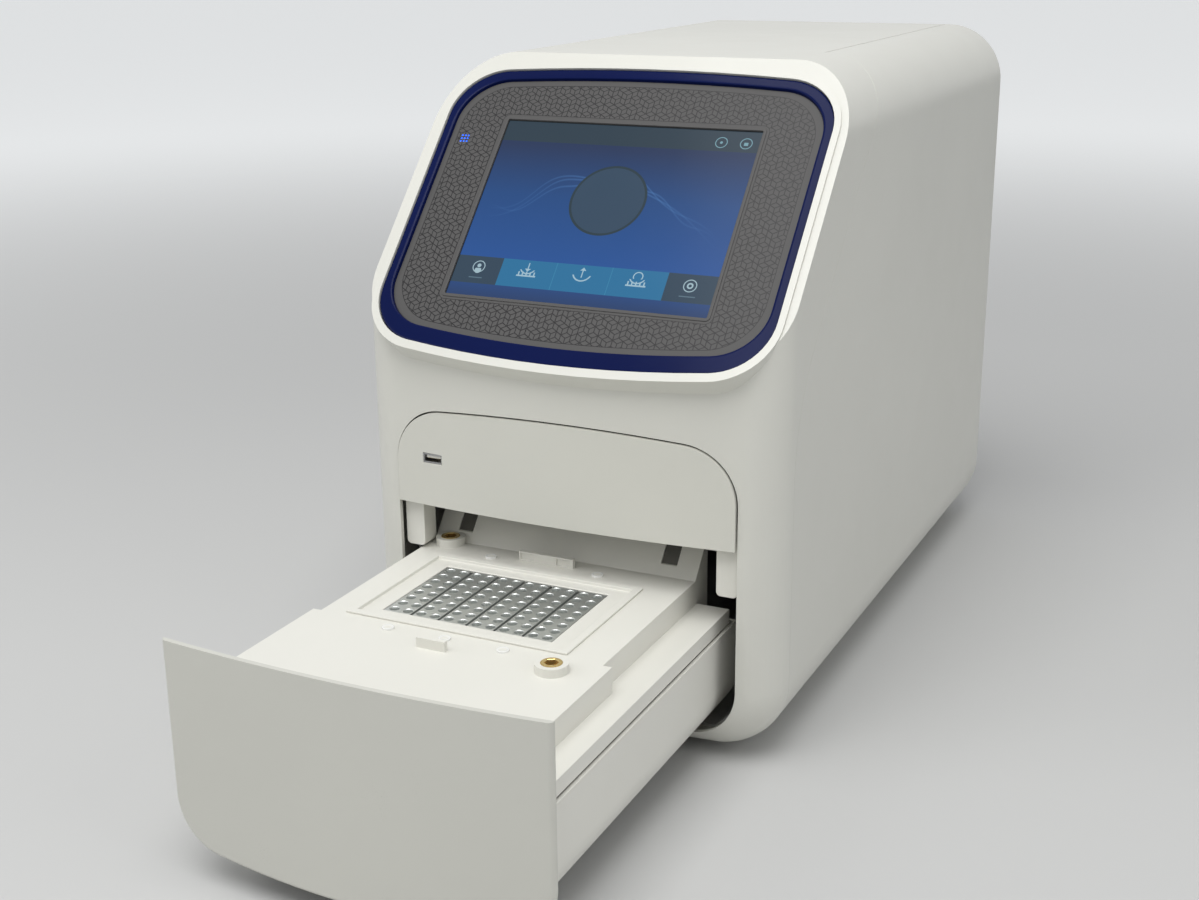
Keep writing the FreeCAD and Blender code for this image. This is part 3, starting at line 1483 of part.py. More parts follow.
for side, word in ((-1, "left"), (1, "right")):
    screw = new_body(f"{word}_screw_body", "case", f"block_x + {side} * screw_x", "block_y")
    pad(
        screw, "XY", circle("0", "0", "screw_radius"), "shelf_top + fit_gap",
        "tower_top - tower_sheet - fit_gap",
    )
    pad(
        screw, "XY", circle("0", "0", "shaft_radius"), "tower_top - tower_sheet - fit_gap",
        "tower_top + 3 * shaft_radius",
    )
    node(f"{word}_lead_screw", screw)

towers = []
for side in (-1, 1):
    tower = new_body(
        f"tower_{'left' if side < 0 else 'right'}", "case", f"block_x + {side} * screw_x", "block_y"
    )
    span = sorted(
        [f"{-side} * lift_motor_size / 2", f"{side} * (4 * screw_radius + tower_sheet)"], key=number
    )
    wall = sorted([f"{side} * 4 * screw_radius", f"{side} * (4 * screw_radius + tower_sheet)"], key=number)
    depth = ("-lift_motor_size / 2", "lift_motor_size / 2")
    profile = rectangle(tuple(wall), ("shelf_top", "tower_top"))
    pad(tower, "XZ", profile, *depth)
    pad(tower, "XZ", rectangle(tuple(span), ("tower_top - tower_sheet", "tower_top")), *depth)
    foot = sorted(
        [f"{side} * 1.5 * screw_radius", f"{side} * (4 * screw_radius + tower_sheet)"], key=number
    )
    pad(tower, "XZ", rectangle(tuple(foot), ("shelf_top", "shelf_top + tower_sheet")), *depth)
    pocket(
        tower, "XY", circle("0", "0", "shaft_radius + fit_gap / 6"), "tower_top - 2 * tower_sheet",
        "tower_top",
    )
    towers.append(tower)
node("lift_towers", group("lift_brackets", *towers))

lift_motors = []
for side in (-1, 1):
    motor = new_body(
        f"lift_motor_{'left' if side < 0 else 'right'}", "case", f"block_x + {side} * screw_x", "block_y"
    )
    pad(
        motor, "XY", centred("lift_motor_size / 2", "lift_motor_size / 2"), "tower_top",
        "tower_top + lift_motor_tall",
    )
    pocket(
        motor, "XY", circle("0", "0", "shaft_radius + fit_gap / 6"), "tower_top",
        "tower_top + 4 * shaft_radius",
    )
    lift_motors.append(motor)
node("lift_motors", group("lift_drives", *lift_motors))

# Optics over the cover: a portal frame, a mirror at half a right angle, two filter wheels,
# the lamp behind and the camera above
optics_body = new_body("optics_body", "case", "block_x")
half_frame = ("-optics_half", "optics_half")
frame_high = "optics_top + optics_sheet"
pad(
    optics_body, "XZ", rectangle(half_frame, ("shelf_top", frame_high)), "optics_front",
    "optics_front + optics_sheet",
)
pad(
    optics_body, "XZ", rectangle(half_frame, ("shelf_top", frame_high)), "optics_back - optics_sheet",
    "optics_back",
)
pad(optics_body, "XY", rectangle(half_frame, ("optics_front", "optics_back")), "optics_top", frame_high)
mirror_half = "2 * beam_radius - optics_sheet / 2"
for side in (1, -1):
    across = sorted([f"{side} * ({mirror_half})", f"{side} * ({mirror_half} + optics_sheet)"], key=number)
    wall = rectangle(
        (f"block_y - ({mirror_half})", f"block_y + ({mirror_half})"),
        (f"beam_level - ({mirror_half})", "optics_top")
    )
    pad(optics_body, "YZ", wall, *across)
pocket(
    optics_body, "XZ", circle("0", "beam_level", "beam_radius"), "optics_back - 2 * optics_sheet",
    "optics_back",
)
pocket(optics_body, "XY", circle("0", "block_y", "beam_radius"), "optics_top", frame_high)
node("optics_frame", optics_body)

mirror_body = doc.addObject("PartDesign::Body", "mirror_body")
mirror_body.Placement.Rotation = FreeCAD.Rotation(FreeCAD.Vector(1, 0, 0), 45)
for path, level in (("x", "block_x"), ("y", "face_y + block_y"), ("z", "beam_level")):
    bind(mirror_body, f"Placement.Base.{path}", level)
pad(mirror_body, "XY", centred(mirror_half, mirror_half), "-optics_sheet / 3", "optics_sheet / 3")
node("beam_splitter", mirror_body)

emission_body = new_body("emission_body", "case", "block_x", "turret_y")
excitation_body = new_body("excitation_body", "case", "block_x", "0", "wheel_level")
orbit = circle("0", "-wheel_orbit", "filter_radius")
pad(emission_body, "XY", circle("0", "0", "wheel_radius"), "turret_under", "turret_top")
pad(
    emission_body, "XY", circle("0", "0", "shaft_radius"), "turret_under - 3 * shaft_radius",
    "turret_under",
)
filter_hole = pocket(emission_body, "XY", orbit, "turret_under", "turret_top")
in_a_ring(emission_body, filter_hole, "Z", "filter_count")
node("emission_wheel", emission_body)
orbit = circle("0", "wheel_orbit", "filter_radius")
wheel_back = "wheel_front + wheel_thick"
pad(excitation_body, "XZ", circle("0", "0", "wheel_radius"), "wheel_front", wheel_back)
pad(excitation_body, "XZ", circle("0", "0", "shaft_radius"), wheel_back, f"{wheel_back} + 3 * shaft_radius")
filter_hole = pocket(excitation_body, "XZ", orbit, "wheel_front", wheel_back)
in_a_ring(excitation_body, filter_hole, "Y", "filter_count")
node("excitation_wheel", excitation_body)

turret_motor = new_body("turret_motor", "case", "block_x", "turret_y")
turret_span = (frame_high, f"{frame_high} + wheel_motor_length")
pad(turret_motor, "XY", circle("0", "0", "wheel_motor_radius"), *turret_span)
pocket(turret_motor, "XY", circle("0", "0", "shaft_radius + fit_gap / 6"), *turret_span)
rear_motor = new_body("rear_motor", "case", "block_x", "0", "wheel_level")
rear_span = ("lamp_y - wheel_motor_length", "lamp_y")
pad(rear_motor, "XZ", circle("0", "0", "wheel_motor_radius"), *rear_span)
pocket(rear_motor, "XZ", circle("0", "0", "shaft_radius + fit_gap / 6"), *rear_span)
node("wheel_motors", group("wheel_drives", turret_motor, rear_motor))

lamp_bracket = new_body("lamp_bracket_body", "case", "block_x")
lamp_half = "lamp_size / 2"
lamp_plate = rectangle((f"-{lamp_half}", lamp_half), ("shelf_top", f"beam_level + {lamp_half}"))
pad(lamp_bracket, "XZ", lamp_plate, "lamp_y", "bracket_back")
lamp_foot = rectangle((f"-{lamp_half}", lamp_half), ("lamp_y", "lamp_y + lamp_length"))
pad(lamp_bracket, "XY", lamp_foot, "shelf_top", "shelf_top + optics_sheet")
pocket(lamp_bracket, "XZ", circle("0", "beam_level", "beam_radius"), "lamp_y", "bracket_back")
node("lamp_bracket", lamp_bracket)

lamp_body = new_body("lamp_body", "case", "block_x", "bracket_back", "beam_level")
pad(lamp_body, "XZ", centred(lamp_half, lamp_half), "0", "lamp_length")
gap = rectangle((f"-{lamp_half} + fin_thick", f"-{lamp_half} + lamp_fins"), ("-lamp_size", "lamp_size"))
fins = pocket(lamp_body, "XZ", gap, "lamp_length / 3", "2 * lamp_length")
in_a_row(lamp_body, fins, "X", "lamp_fins", "lamp_slot_count")
node("lamp_module", lamp_body)

lens_body = new_body("lens_body", "case", "block_x", "0", "beam_level")
pad(lens_body, "XZ", circle("0", "0", "beam_radius - fit_gap / 6"), "lamp_y - optics_sheet", "bracket_back")
pad(
    lens_body, "XZ", circle("0", "0", "filter_radius"), "lamp_y - 2 * optics_sheet",
    "lamp_y - optics_sheet",
)
node("condenser_lens", lens_body)

bracket_body = new_body("bracket_body", "case", "block_x", "block_y")
leg_half = "wheel_radius + 5 * fit_gap"
bracket_deep = "camera_size / 2"
for side in (1, -1):
    across = sorted([f"{side} * ({leg_half})", f"{side} * ({leg_half} + optics_sheet)"], key=number)
    leg = rectangle(tuple(across), (frame_high, "camera_deck"))
    pad(bracket_body, "XZ", leg, f"-{bracket_deep}", bracket_deep)
top = centred(f"{leg_half} + optics_sheet", bracket_deep)
pad(bracket_body, "XY", top, "camera_deck", "camera_floor")
pocket(bracket_body, "XY", circle("0", "0", "lens_radius"), "camera_deck", "camera_floor")
node("camera_bracket", bracket_body)

barrel_body = new_body("barrel_body", "case", "block_x", "block_y")
pad(
    barrel_body, "XY", circle("0", "0", "lens_radius - fit_gap / 6"), "turret_top + 4 * fit_gap",
    "camera_floor",
)
lens_mouth = circle("0", "0", "filter_radius + fit_gap")
pocket(barrel_body, "XY", lens_mouth, "turret_top", "turret_top + lens_length / 4")
node("camera_lens", barrel_body)

camera_body = new_body("camera_case", "case", "block_x", "block_y")
pad(
    camera_body, "XY", centred("camera_size / 2", "camera_size / 2"), "camera_floor",
    "camera_floor + camera_tall",
)
cooling = rectangle(
    ("-camera_size / 2 + fin_thick", "-camera_size / 2 + lamp_fins"), ("-camera_size", "camera_size")
)
slots = pocket(
    camera_body, "XY", cooling, "camera_floor + camera_tall * 2 / 3", "camera_floor + 2 * camera_tall"
)
in_a_row(camera_body, slots, "X", "lamp_fins", "camera_slot_count")
node("camera_body", camera_body)

# Electronics: supply on the chassis floor, main board on the shelf, sockets at the rear
supply_body = new_body("supply_body")
supply_plan = rectangle(("-supply_half", "supply_half"), ("supply_front", "supply_back"))
pad(supply_body, "XY", supply_plan, "case_floor + chassis_sheet", "supply_top")
terminals = rectangle(
    ("-supply_half + lamp_fins", "supply_half / 2"), ("supply_front", "supply_front + 3 * lamp_fins")
)
pocket(supply_body, "XY", terminals, "supply_top / 2", "2 * supply_top")
slit = rectangle(
    ("-supply_half + 2 * lamp_fins", "-supply_half + 2 * lamp_fins + vent_slot"),
    ("supply_front + supply_top", "supply_back - supply_top / 2")
)
slits = pocket(supply_body, "XY", slit, "supply_top - optics_sheet", "2 * supply_top")
in_a_row(supply_body, slits, "X", "vent_pitch", "supply_slot_count")
node("power_supply", supply_body)

board_body = new_body("board_body")
board_plan = rectangle(("-board_half", "board_half"), ("board_front", "board_back"))
pad(board_body, "XY", board_plan, "board_under", "board_top")
studs = [
    circle(f"{side} * (board_half - 2 * screw_head)", place, "screw_head")
    for side in (1, -1) for place in ("board_front + 2 * screw_head", "chassis_back - 3 * screw_head")
]
pad(board_body, "XY", both(*studs), "shelf_top", "board_under")
chips = {
    ("-board_half / 2", "board_front + board_half / 2"): "board_half / 4",
    ("board_half / 3", "board_front + board_half / 2"): "board_half / 6",
    ("-board_half / 2", "board_front + board_half * 4 / 3"): "board_half / 8",
    ("board_half / 2", "board_front + board_half * 4 / 3"): "board_half / 5",
}
for (across, back), half in chips.items():
    chip = rectangle((f"{across} - {half}", f"{across} + {half}"), (f"{back} - {half}", f"{back} + {half}"))
    pad(board_body, "XY", chip, "board_top", "board_top + 2 * board_thick")
node("main_board", board_body)

sockets = []
for name, across, wide, tall in (
    ("network", "net_x", "net_width", "net_height"),
    ("usb", "usb_x", "usb_stack_width", "usb_stack_height"),
):
    socket = new_body(f"{name}_socket", "case", across, "0", "board_top")
    pad(
        socket, "XZ", rectangle((f"-{wide} / 2", f"{wide} / 2"), ("0", tall)),
        "rear_seat + back_thick / 2 - net_depth", "rear_seat + back_thick / 2",
    )
    sockets.append(socket)
mouth = rectangle(
    ("-net_width / 2 + 2 * fit_gap", "net_width / 2 - 2 * fit_gap"), ("2 * fit_gap", "net_height * 3 / 4")
)
pocket(sockets[0], "XZ", mouth, "rear_seat - net_depth * 2 / 3", "case_depth")
for level in ("2 * fit_gap", "usb_stack_height / 2 + fit_gap"):
    mouth = rectangle(("-usb_width / 2", "usb_width / 2"), (level, f"{level} + usb_height + fit_gap"))
    pocket(sockets[1], "XZ", mouth, "rear_seat - usb_depth * 3 / 4", "case_depth")
    tongue = rectangle(
        ("-usb_width / 3", "usb_width / 3"),
        (f"{level} + usb_height / 2", f"{level} + tongue_top * usb_height"),
    )
    pad(sockets[1], "XZ", tongue, "rear_seat - usb_depth * 3 / 4", "rear_seat")
node("rear_sockets", group("socket_pair", *sockets))


def panel_fitting(name, level, wide, tall, depth, wall, hollow):
    """A flanged box set in a cut-out of the rear panel, hollow from behind."""
    body = new_body(name, "case", "inlet_x", "0", level)
    fit = "fit_gap / 3"
    outer = "rear_inside + back_thick"
    pad(body, "XZ", centred(f"{wide} / 2 - {fit}", f"{tall} / 2 - {fit}"), f"{outer} - {depth}", outer)
    pad(body, "XZ", centred(f"{wide} / 2 + board_thick", f"{tall} / 2 + board_thick"), outer, "case_depth")
    pocket(
        body, "XZ", centred(f"{wide} / 2 - {wall}", f"{tall} / 2 - {wall}"), f"case_depth - {hollow}",
        "case_depth",
    )
    return body


inlet_body = panel_fitting(
    "inlet_body", "inlet_z", "inlet_width", "inlet_height", "inlet_depth", "inlet_wall", "inlet_hollow"
)
for across, up in (
    ("-inlet_pin", "-inlet_pin / 4"), ("0", "inlet_pin / 4"), ("inlet_pin", "-inlet_pin / 4")
):
    blade = rectangle(
        (f"{across} - fit_gap * 3", f"{across} + fit_gap * 3"),
        (f"{up} - inlet_pin / 4", f"{up} + inlet_pin / 4"),
    )
    pad(inlet_body, "XZ", blade, "case_depth - inlet_hollow", "case_depth - inlet_hollow / 4")
node("power_inlet", inlet_body)

switch_body = panel_fitting(
    "switch_body", "switch_z", "switch_width", "switch_height", "inlet_depth", "board_thick",
    "inlet_hollow",
)
pivot_y = "case_depth - rocker_pivot"
pin_hole = circle(pivot_y, "0", "shank_radius + fit_gap / 6")
pocket(
    switch_body, "YZ", pin_hole, "-switch_width / 2 + board_thick / 3",
    "switch_width / 2 - board_thick / 3",
)
node("switch_housing", switch_body)

rocker_body = doc.addObject("PartDesign::Body", "rocker_body")
rocker_body.Placement.Rotation = FreeCAD.Rotation(FreeCAD.Vector(1, 0, 0), SIZES["rocker_swing"])
bind(rocker_body, "Placement.Base.x", "inlet_x")
bind(rocker_body, "Placement.Base.y", f"face_y + {pivot_y}")
bind(rocker_body, "Placement.Base.z", "switch_z")
bind(rocker_body, "Placement.Rotation.Angle", "rocker_swing")
rocker_tip = "rocker_face + rocker_half * tan(rocker_swing)"
rocker_outline = polygon(
    (rocker_tip, "rocker_half"), ("0", "rocker_crown * rocker_half"), ("-rocker_face / 2", "0"),
    ("0", "-rocker_crown * rocker_half"),
    (rocker_tip, "-rocker_half"), ("rocker_face", "0"),
)
rocker_wide = "switch_width / 2 - board_thick - fit_gap"
pad(rocker_body, "YZ", rocker_outline, f"-({rocker_wide})", rocker_wide)
pad(
    rocker_body, "YZ", circle("0", "0", "shank_radius"), "-switch_width / 2 + board_thick * 2 / 3",
    "switch_width / 2 - board_thick * 2 / 3",
)
node("power_rocker", rocker_body)

screws = []
for place, (across, level) in enumerate(screw_spots):
    head = rod(
        f"screw_head_{place}", "y", (across, level), ("rear_inside + back_thick", "case_depth"),
        "screw_head",
    )
    shank = rod(
        f"screw_shank_{place}", "y", (across, level),
        ("rear_inside - 3 * back_thick", "rear_inside + back_thick"), "shank_radius"
    )
    screws.append(fuse(f"case_screw_{place}", head, shank))
node("case_screws", group("screws", *screws))


# Check every object, then write each sub-part
doc.recompute()
for item in doc.Objects:
    if {"Invalid", "Error"} & set(item.State):
        raise ValueError(f"{item.Label} did not compute")
os.makedirs("parts", exist_ok=True)
for name, item in nodes.items():
    if item.Shape.isNull() or not item.Shape.isValid():
        raise ValueError(f"{name} is not a sound solid")
for name, item in nodes.items():
    item.Shape.exportStep(f"parts/{name}.step")
print(f"{len(nodes)} sub-parts written")
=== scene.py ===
# %% [markdown]
# This lesson dresses a benchtop real-time PCR machine, the instrument that copies DNA in a plate
# of small wells and watches it glow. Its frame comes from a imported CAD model: every piece here is
# fitted to that frame, in metres, and rides on one of its bodies, so the drawer still slides.

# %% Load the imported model
import math

import bpy
from mathutils import Matrix, Vector
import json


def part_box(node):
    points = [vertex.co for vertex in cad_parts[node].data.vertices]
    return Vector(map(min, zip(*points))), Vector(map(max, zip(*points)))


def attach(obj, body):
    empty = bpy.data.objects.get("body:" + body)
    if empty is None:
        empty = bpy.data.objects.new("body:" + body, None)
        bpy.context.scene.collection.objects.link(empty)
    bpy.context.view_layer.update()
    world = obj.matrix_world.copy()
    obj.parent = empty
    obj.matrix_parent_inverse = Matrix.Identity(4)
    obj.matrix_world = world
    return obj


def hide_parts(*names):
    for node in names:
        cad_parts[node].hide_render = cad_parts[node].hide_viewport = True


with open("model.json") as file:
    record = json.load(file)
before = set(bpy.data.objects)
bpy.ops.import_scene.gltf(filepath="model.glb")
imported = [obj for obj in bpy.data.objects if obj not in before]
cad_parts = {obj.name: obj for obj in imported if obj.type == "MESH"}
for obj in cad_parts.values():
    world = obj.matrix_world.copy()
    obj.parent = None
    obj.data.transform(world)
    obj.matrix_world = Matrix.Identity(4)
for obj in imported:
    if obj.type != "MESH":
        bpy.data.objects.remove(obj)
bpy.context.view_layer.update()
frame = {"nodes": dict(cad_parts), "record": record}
nodes = frame["nodes"]
slot_of = {entry["node"]: entry["material_slot"] for entry in frame["record"]["subparts"]}
body_of = {name: body for body, members in frame["record"]["behaviour"]["bodies"].items() for name in members}

# %% [markdown]
# A camera that stands where the photographer stood makes every later comparison honest. Its place
# was worked out from the machine's straight edges, so the turns are written as a direction and a
# small roll instead of being aimed at a target by eye.

# %% Camera
EYE = Vector((0.42508, -0.96469, 0.48198))
yaw, pitch, roll = 0.449683, 0.310768, -0.009937
forward = Vector((-math.sin(yaw) * math.cos(pitch), math.cos(yaw) * math.cos(pitch), -math.sin(pitch)))
level = Vector((math.cos(yaw), math.sin(yaw), 0))
above = level.cross(forward)
right = math.cos(roll) * level + math.sin(roll) * above
up = -math.sin(roll) * level + math.cos(roll) * above
lens = bpy.data.cameras.new("photo_view")
lens.sensor_width = 36
lens.lens = 49.833
lens.clip_end = 30
camera = bpy.data.objects.new("photo_view", lens)
bpy.context.scene.collection.objects.link(camera)
turn = Matrix((right, up, -forward)).transposed()
camera.matrix_world = Matrix.Translation(EYE) @ turn.to_4x4()
bpy.context.scene.camera = camera
bpy.context.scene.view_settings.view_transform = "Standard"
print("camera at", EYE[:])

# %% [markdown]
# Many finishes are sums of distances and masks. Short helpers write them as formulas: one starts a
# material, one feeds a node with plain values or other nodes, one names the Math nodes, and one lays
# a colour over another by a mask.

# %% Helpers for materials
def new_material(name):
    """A material with its Principled shader, ready for more nodes."""
    made = bpy.data.materials.new(name)
    made.use_nodes = True
    tree = made.node_tree
    return made, tree, tree.nodes["Principled BSDF"]


def feed(node, values):
    """Fills inputs, by name or number, each with a plain value or another node's output."""
    for key, value in values.items():
        if isinstance(value, bpy.types.NodeSocket):
            node.id_data.links.new(value, node.inputs[key])
        else:
            node.inputs[key].default_value = value


class Sums:
    """Short names for the Math nodes of one material."""

    def __init__(self, tree):
        self.tree = tree

    def make(self, kind, *values):
        step = self.tree.nodes.new("ShaderNodeMath")
        step.operation = kind
        feed(step, dict(enumerate(values)))
        return step.outputs[0]

    def add(self, a, b):
        return self.make("ADD", a, b)

    def less(self, a, b):
        return self.make("SUBTRACT", a, b)

    def times(self, a, b):
        return self.make("MULTIPLY", a, b)

    def length(self, a, b):
        return self.make("SQRT", self.add(self.times(a, a), self.times(b, b)))

    def within(self, value, middle, reach):
        """1 where a value lies within a reach of the middle, and 0 elsewhere."""
        return self.make("COMPARE", value, middle, reach)


def laid_over(tree, mask, below, above):
    """Two colours mixed by a mask. Each is a triple, or the output of another node."""
    mix = tree.nodes.new("ShaderNodeMix")
    mix.data_type = "RGBA"
    pair = [(*colour, 1) if isinstance(colour, tuple) else colour for colour in (below, above)]
    feed(mix, {0: mask, 6: pair[0], 7: pair[1]})
    return mix.outputs[2]


# %% [markdown]
# The bench is one pale sheet. It runs so far that its end is out of sight. Far from the machine its
# colour is painted lighter and it glows to the camera alone: painted light in place of the lamps'
# light, which falls off there, so it meets the pale sky without a dark horizon. The sky looks near
# white to the camera and in reflections, while a softer grey lights the machine, so its own pale
# plastic keeps its shading.

# %% Bench
FADE_START, FADE_END = 0.6, 3.2
bpy.ops.mesh.primitive_plane_add(size=40, location=(0, 0, 0))
bench = bpy.context.object
bench.name = "bench"
bench_top, tree, shader = new_material("bench_top")
spots = tree.nodes.new("ShaderNodeTexCoord")
distance = tree.nodes.new("ShaderNodeVectorMath")
distance.operation = "LENGTH"
feed(distance, {0: spots.outputs["Object"]})


def grows_far_away(most):
    """Nought round the machine, rising smoothly to a value where the bench fades out."""
    ramp = tree.nodes.new("ShaderNodeMapRange")
    ramp.interpolation_type = "SMOOTHSTEP"
    feed(ramp, {
        "Value": distance.outputs["Value"], "From Min": FADE_START, "From Max": FADE_END, "To Max": most,
    })
    return ramp.outputs["Result"]


# Painted light: far from the machine the bench is painted lighter, and below it glows to the camera alone, in
# place of lamp light that has fallen off.
tint = laid_over(tree, grows_far_away(1), (0.56, 0.56, 0.55), (0.70, 0.71, 0.71))
seen_directly = tree.nodes.new("ShaderNodeLightPath").outputs["Is Camera Ray"]
painted_far_glow = Sums(tree).times(grows_far_away(0.57), seen_directly)
feed(shader, {"Roughness": 0.8, "Base Color": tint, "Emission Color": tint, "Emission Strength": painted_far_glow})
bench.data.materials.append(bench_top)
print("bench fades between", FADE_START, "and", FADE_END, "metres")

# %% Sky
sky = bpy.data.worlds.new("soft_room")
bpy.context.scene.world = sky
sky.use_nodes = True
tree = sky.node_tree
tree.nodes.clear()
seen = tree.nodes.new("ShaderNodeBackground")
feed(seen, {"Color": (0.78, 0.79, 0.79, 1)})
fill = tree.nodes.new("ShaderNodeBackground")
feed(fill, {"Color": (0.95, 0.97, 1.0, 1), "Strength": 0.44})
rays = tree.nodes.new("ShaderNodeLightPath")
do = Sums(tree)
direct = do.make("MAXIMUM", rays.outputs["Is Camera Ray"], rays.outputs["Is Transmission Ray"])
mirrored = do.times(rays.outputs["Is Glossy Ray"], 0.7)
blend = tree.nodes.new("ShaderNodeMixShader")
feed(blend, {"Fac": do.make("MAXIMUM", direct, mirrored), 1: fill.outputs[0], 2: seen.outputs[0]})
ending = tree.nodes.new("ShaderNodeOutputWorld")
feed(ending, {"Surface": blend.outputs[0]})
print("sky nodes:", len(tree.nodes))

# %% [markdown]
# A laboratory has wide ceiling panels. One large lamp overhead makes the deck the brightest
# surface, as in the photograph, and two weaker ones at the sides keep the fronts readable.

# %% Lamps
def add_lamp(name, place, aim, size, power):
    light = bpy.data.lights.new(name, "AREA")
    light.size = size
    light.energy = power
    holder = bpy.data.objects.new(name, light)
    bpy.context.scene.collection.objects.link(holder)
    holder.location = place
    holder.rotation_euler = (Vector(aim) - Vector(place)).to_track_quat("-Z", "Y").to_euler()
    print(name, power, "watts")


add_lamp("ceiling", (0.1, -0.9, 2.2), (0, -0.05, 0.2), 1.7, 37)
add_lamp("window_left", (-1.7, -1.3, 1.2), (0, -0.1, 0.2), 1.1, 9)
add_lamp("window_right", (1.9, -0.5, 1.1), (0, 0, 0.2), 1.2, 5)

# %% [markdown]
# Almost everything here is moulded plastic. Real mouldings have a fine spark-eroded grain that
# scatters the highlight, and a very slight drift of tone over a large wall. One helper makes all of
# them: a small noise moves the tone, a finer one roughens and dents the surface. Handling leaves
# faint smooth smudges, so a slow noise also lowers the roughness here and there.

# %% Moulded plastic and metal
def add_noise(tree, scale, detail=3, stretch=None):
    """Noise in the object's own coordinates, which here are metres in the machine's frame."""
    spots = tree.nodes.new("ShaderNodeTexCoord")
    grain = tree.nodes.new("ShaderNodeTexNoise")
    source = spots.outputs["Object"]
    if stretch:
        mapping = tree.nodes.new("ShaderNodeMapping")
        feed(mapping, {"Vector": source, "Scale": stretch})
        source = mapping.outputs["Vector"]
    feed(grain, {"Vector": source, "Scale": scale, "Detail": detail})
    return grain


def tone_drift(tree, shader, colour, amount, grain):
    """Moves a colour a little lighter and darker with a noise."""
    ramp = tree.nodes.new("ShaderNodeValToRGB")
    ramp.color_ramp.elements[0].position = 0.3
    ramp.color_ramp.elements[1].position = 0.7
    ramp.color_ramp.elements[0].color = [c * (1 - amount) for c in colour[:3]] + [1]
    ramp.color_ramp.elements[1].color = [min(1, c * (1 + amount)) for c in colour[:3]] + [1]
    feed(ramp, {"Fac": grain.outputs["Fac"]})
    feed(shader, {"Base Color": ramp.outputs["Color"]})


def roughness_range(tree, source, low, high):
    spread = tree.nodes.new("ShaderNodeMapRange")
    feed(spread, {"Value": source, "To Min": low, "To Max": high})
    return spread.outputs["Result"]


def moulded(name, colour, roughness, grain_size=0.0006, depth=0.02, drift=0.015, coat=0.0, shine=0.5):
    made, tree, shader = new_material(name)
    tone_drift(tree, shader, colour, drift, add_noise(tree, 9, 4))
    fine = add_noise(tree, 1 / grain_size, 2)
    smudge = add_noise(tree, 28, 5)
    sparkle = roughness_range(tree, fine.outputs["Fac"], -0.05, 0.05)
    handled = roughness_range(tree, smudge.outputs["Fac"], roughness - 0.08, roughness + 0.06)
    total = tree.nodes.new("ShaderNodeMath")
    total.use_clamp = True
    feed(total, {0: sparkle, 1: handled})
    bump = tree.nodes.new("ShaderNodeBump")
    feed(bump, {"Height": fine.outputs["Fac"], "Strength": depth * 10, "Distance": depth * grain_size})
    feed(shader, {
        "Roughness": total.outputs[0], "Normal": bump.outputs["Normal"], "Specular IOR Level": shine,
        "Coat Weight": coat, "Coat Roughness": 0.08,
    })
    return made


def metal(name, colour, roughness, stretch=(1, 1, 1), scale=900, streak=0.08, metallic=1.0):
    made, tree, shader = new_material(name)
    grain = add_noise(tree, scale, 3, stretch)
    tone_drift(tree, shader, colour, 0.05, grain)
    spread = roughness_range(tree, grain.outputs["Fac"], max(0.05, roughness - streak), roughness + streak)
    feed(shader, {"Metallic": metallic, "Roughness": spread})
    return made


finishes = {
    "shell": moulded("housing_white", (0.66, 0.655, 0.60), 0.36, coat=0.1),
    # The visor is the same white plastic in a tone of its own: painted light that stands for the light the
    # deck throws up onto it.
    "visor": moulded("visor_white_painted_bounce", (0.64, 0.635, 0.575), 0.33, coat=0.12),
    "fascia": moulded("fascia_white", (0.59, 0.585, 0.53), 0.33, coat=0.12),
    "deck": moulded("deck_white", (0.74, 0.73, 0.67), 0.42),
    "ring": moulded("ring_navy", (0.0025, 0.007, 0.055), 0.17, depth=0.002, drift=0.1, shine=0.08),
    "feet": moulded("foot_rubber", (0.03, 0.03, 0.03), 0.8),
    "sheet_steel": moulded("grey_paint", (0.48, 0.48, 0.46), 0.5, 0.0012, 0.06),
    "ceramic": moulded("pump_ceramic", (0.8, 0.8, 0.76), 0.6),
    "black_plastic": moulded("black_nylon", (0.022, 0.022, 0.024), 0.45),
    "board": moulded("board_green", (0.012, 0.11, 0.05), 0.4),
    "steel": metal("brushed_steel", (0.56, 0.56, 0.57), 0.32, (1, 1, 20)),
    "brass": metal("turned_brass", (0.70, 0.52, 0.22), 0.24, (1, 1, 12), metallic=0.8),
    "block": metal("plated_block", (0.66, 0.68, 0.66), 0.34, (1, 1, 1), 2500, 0.1, 0.85),
    "aluminium": metal("mill_aluminium", (0.62, 0.63, 0.64), 0.38),
    "motor": metal("motor_case", (0.12, 0.12, 0.125), 0.4),
    "optics": metal("black_anodised", (0.03, 0.03, 0.032), 0.5),
    "supply": metal("supply_case", (0.5, 0.5, 0.5), 0.42, (20, 1, 1)),
    "smoked": moulded("smoked_window", (0.115, 0.112, 0.10), 0.22, depth=0.002),
    "gel": moulded("pad_silicone", (0.82, 0.82, 0.79), 0.22, depth=0.004, coat=0.3),
    "liner": metal("bright_liner", (0.42, 0.42, 0.42), 0.28, (1, 20, 1)),
}
print("finishes:", len(finishes))

# %% [markdown]
# The status lights glow, and the optical glasses are clear. A light's glow is a blue that it sends
# out itself, so it still reads as blue in a bright room.

# %% Lights and glass
glow, tree, shader = new_material("status_blue")
feed(shader, {
    "Base Color": (0.0, 0.02, 0.3, 1), "Roughness": 0.3, "Emission Color": (0.005, 0.11, 1.0, 1),
    "Emission Strength": 2.6,
})
finishes["lights"] = glow
clear, tree, shader = new_material("optic_glass")
feed(shader, {"Base Color": (0.9, 0.96, 0.97, 1), "Roughness": 0.03, "Transmission Weight": 1})
finishes["optic_glass"] = clear
print("finishes:", len(finishes))

# %% [markdown]
# The display leans back. Its patterns are laid out flat, so they need coordinates that lie in the
# plane of the screen: a Mapping node set to Texture undoes the lean, and its X and Y then run across
# and up the glass, measured from the middle of the screen.

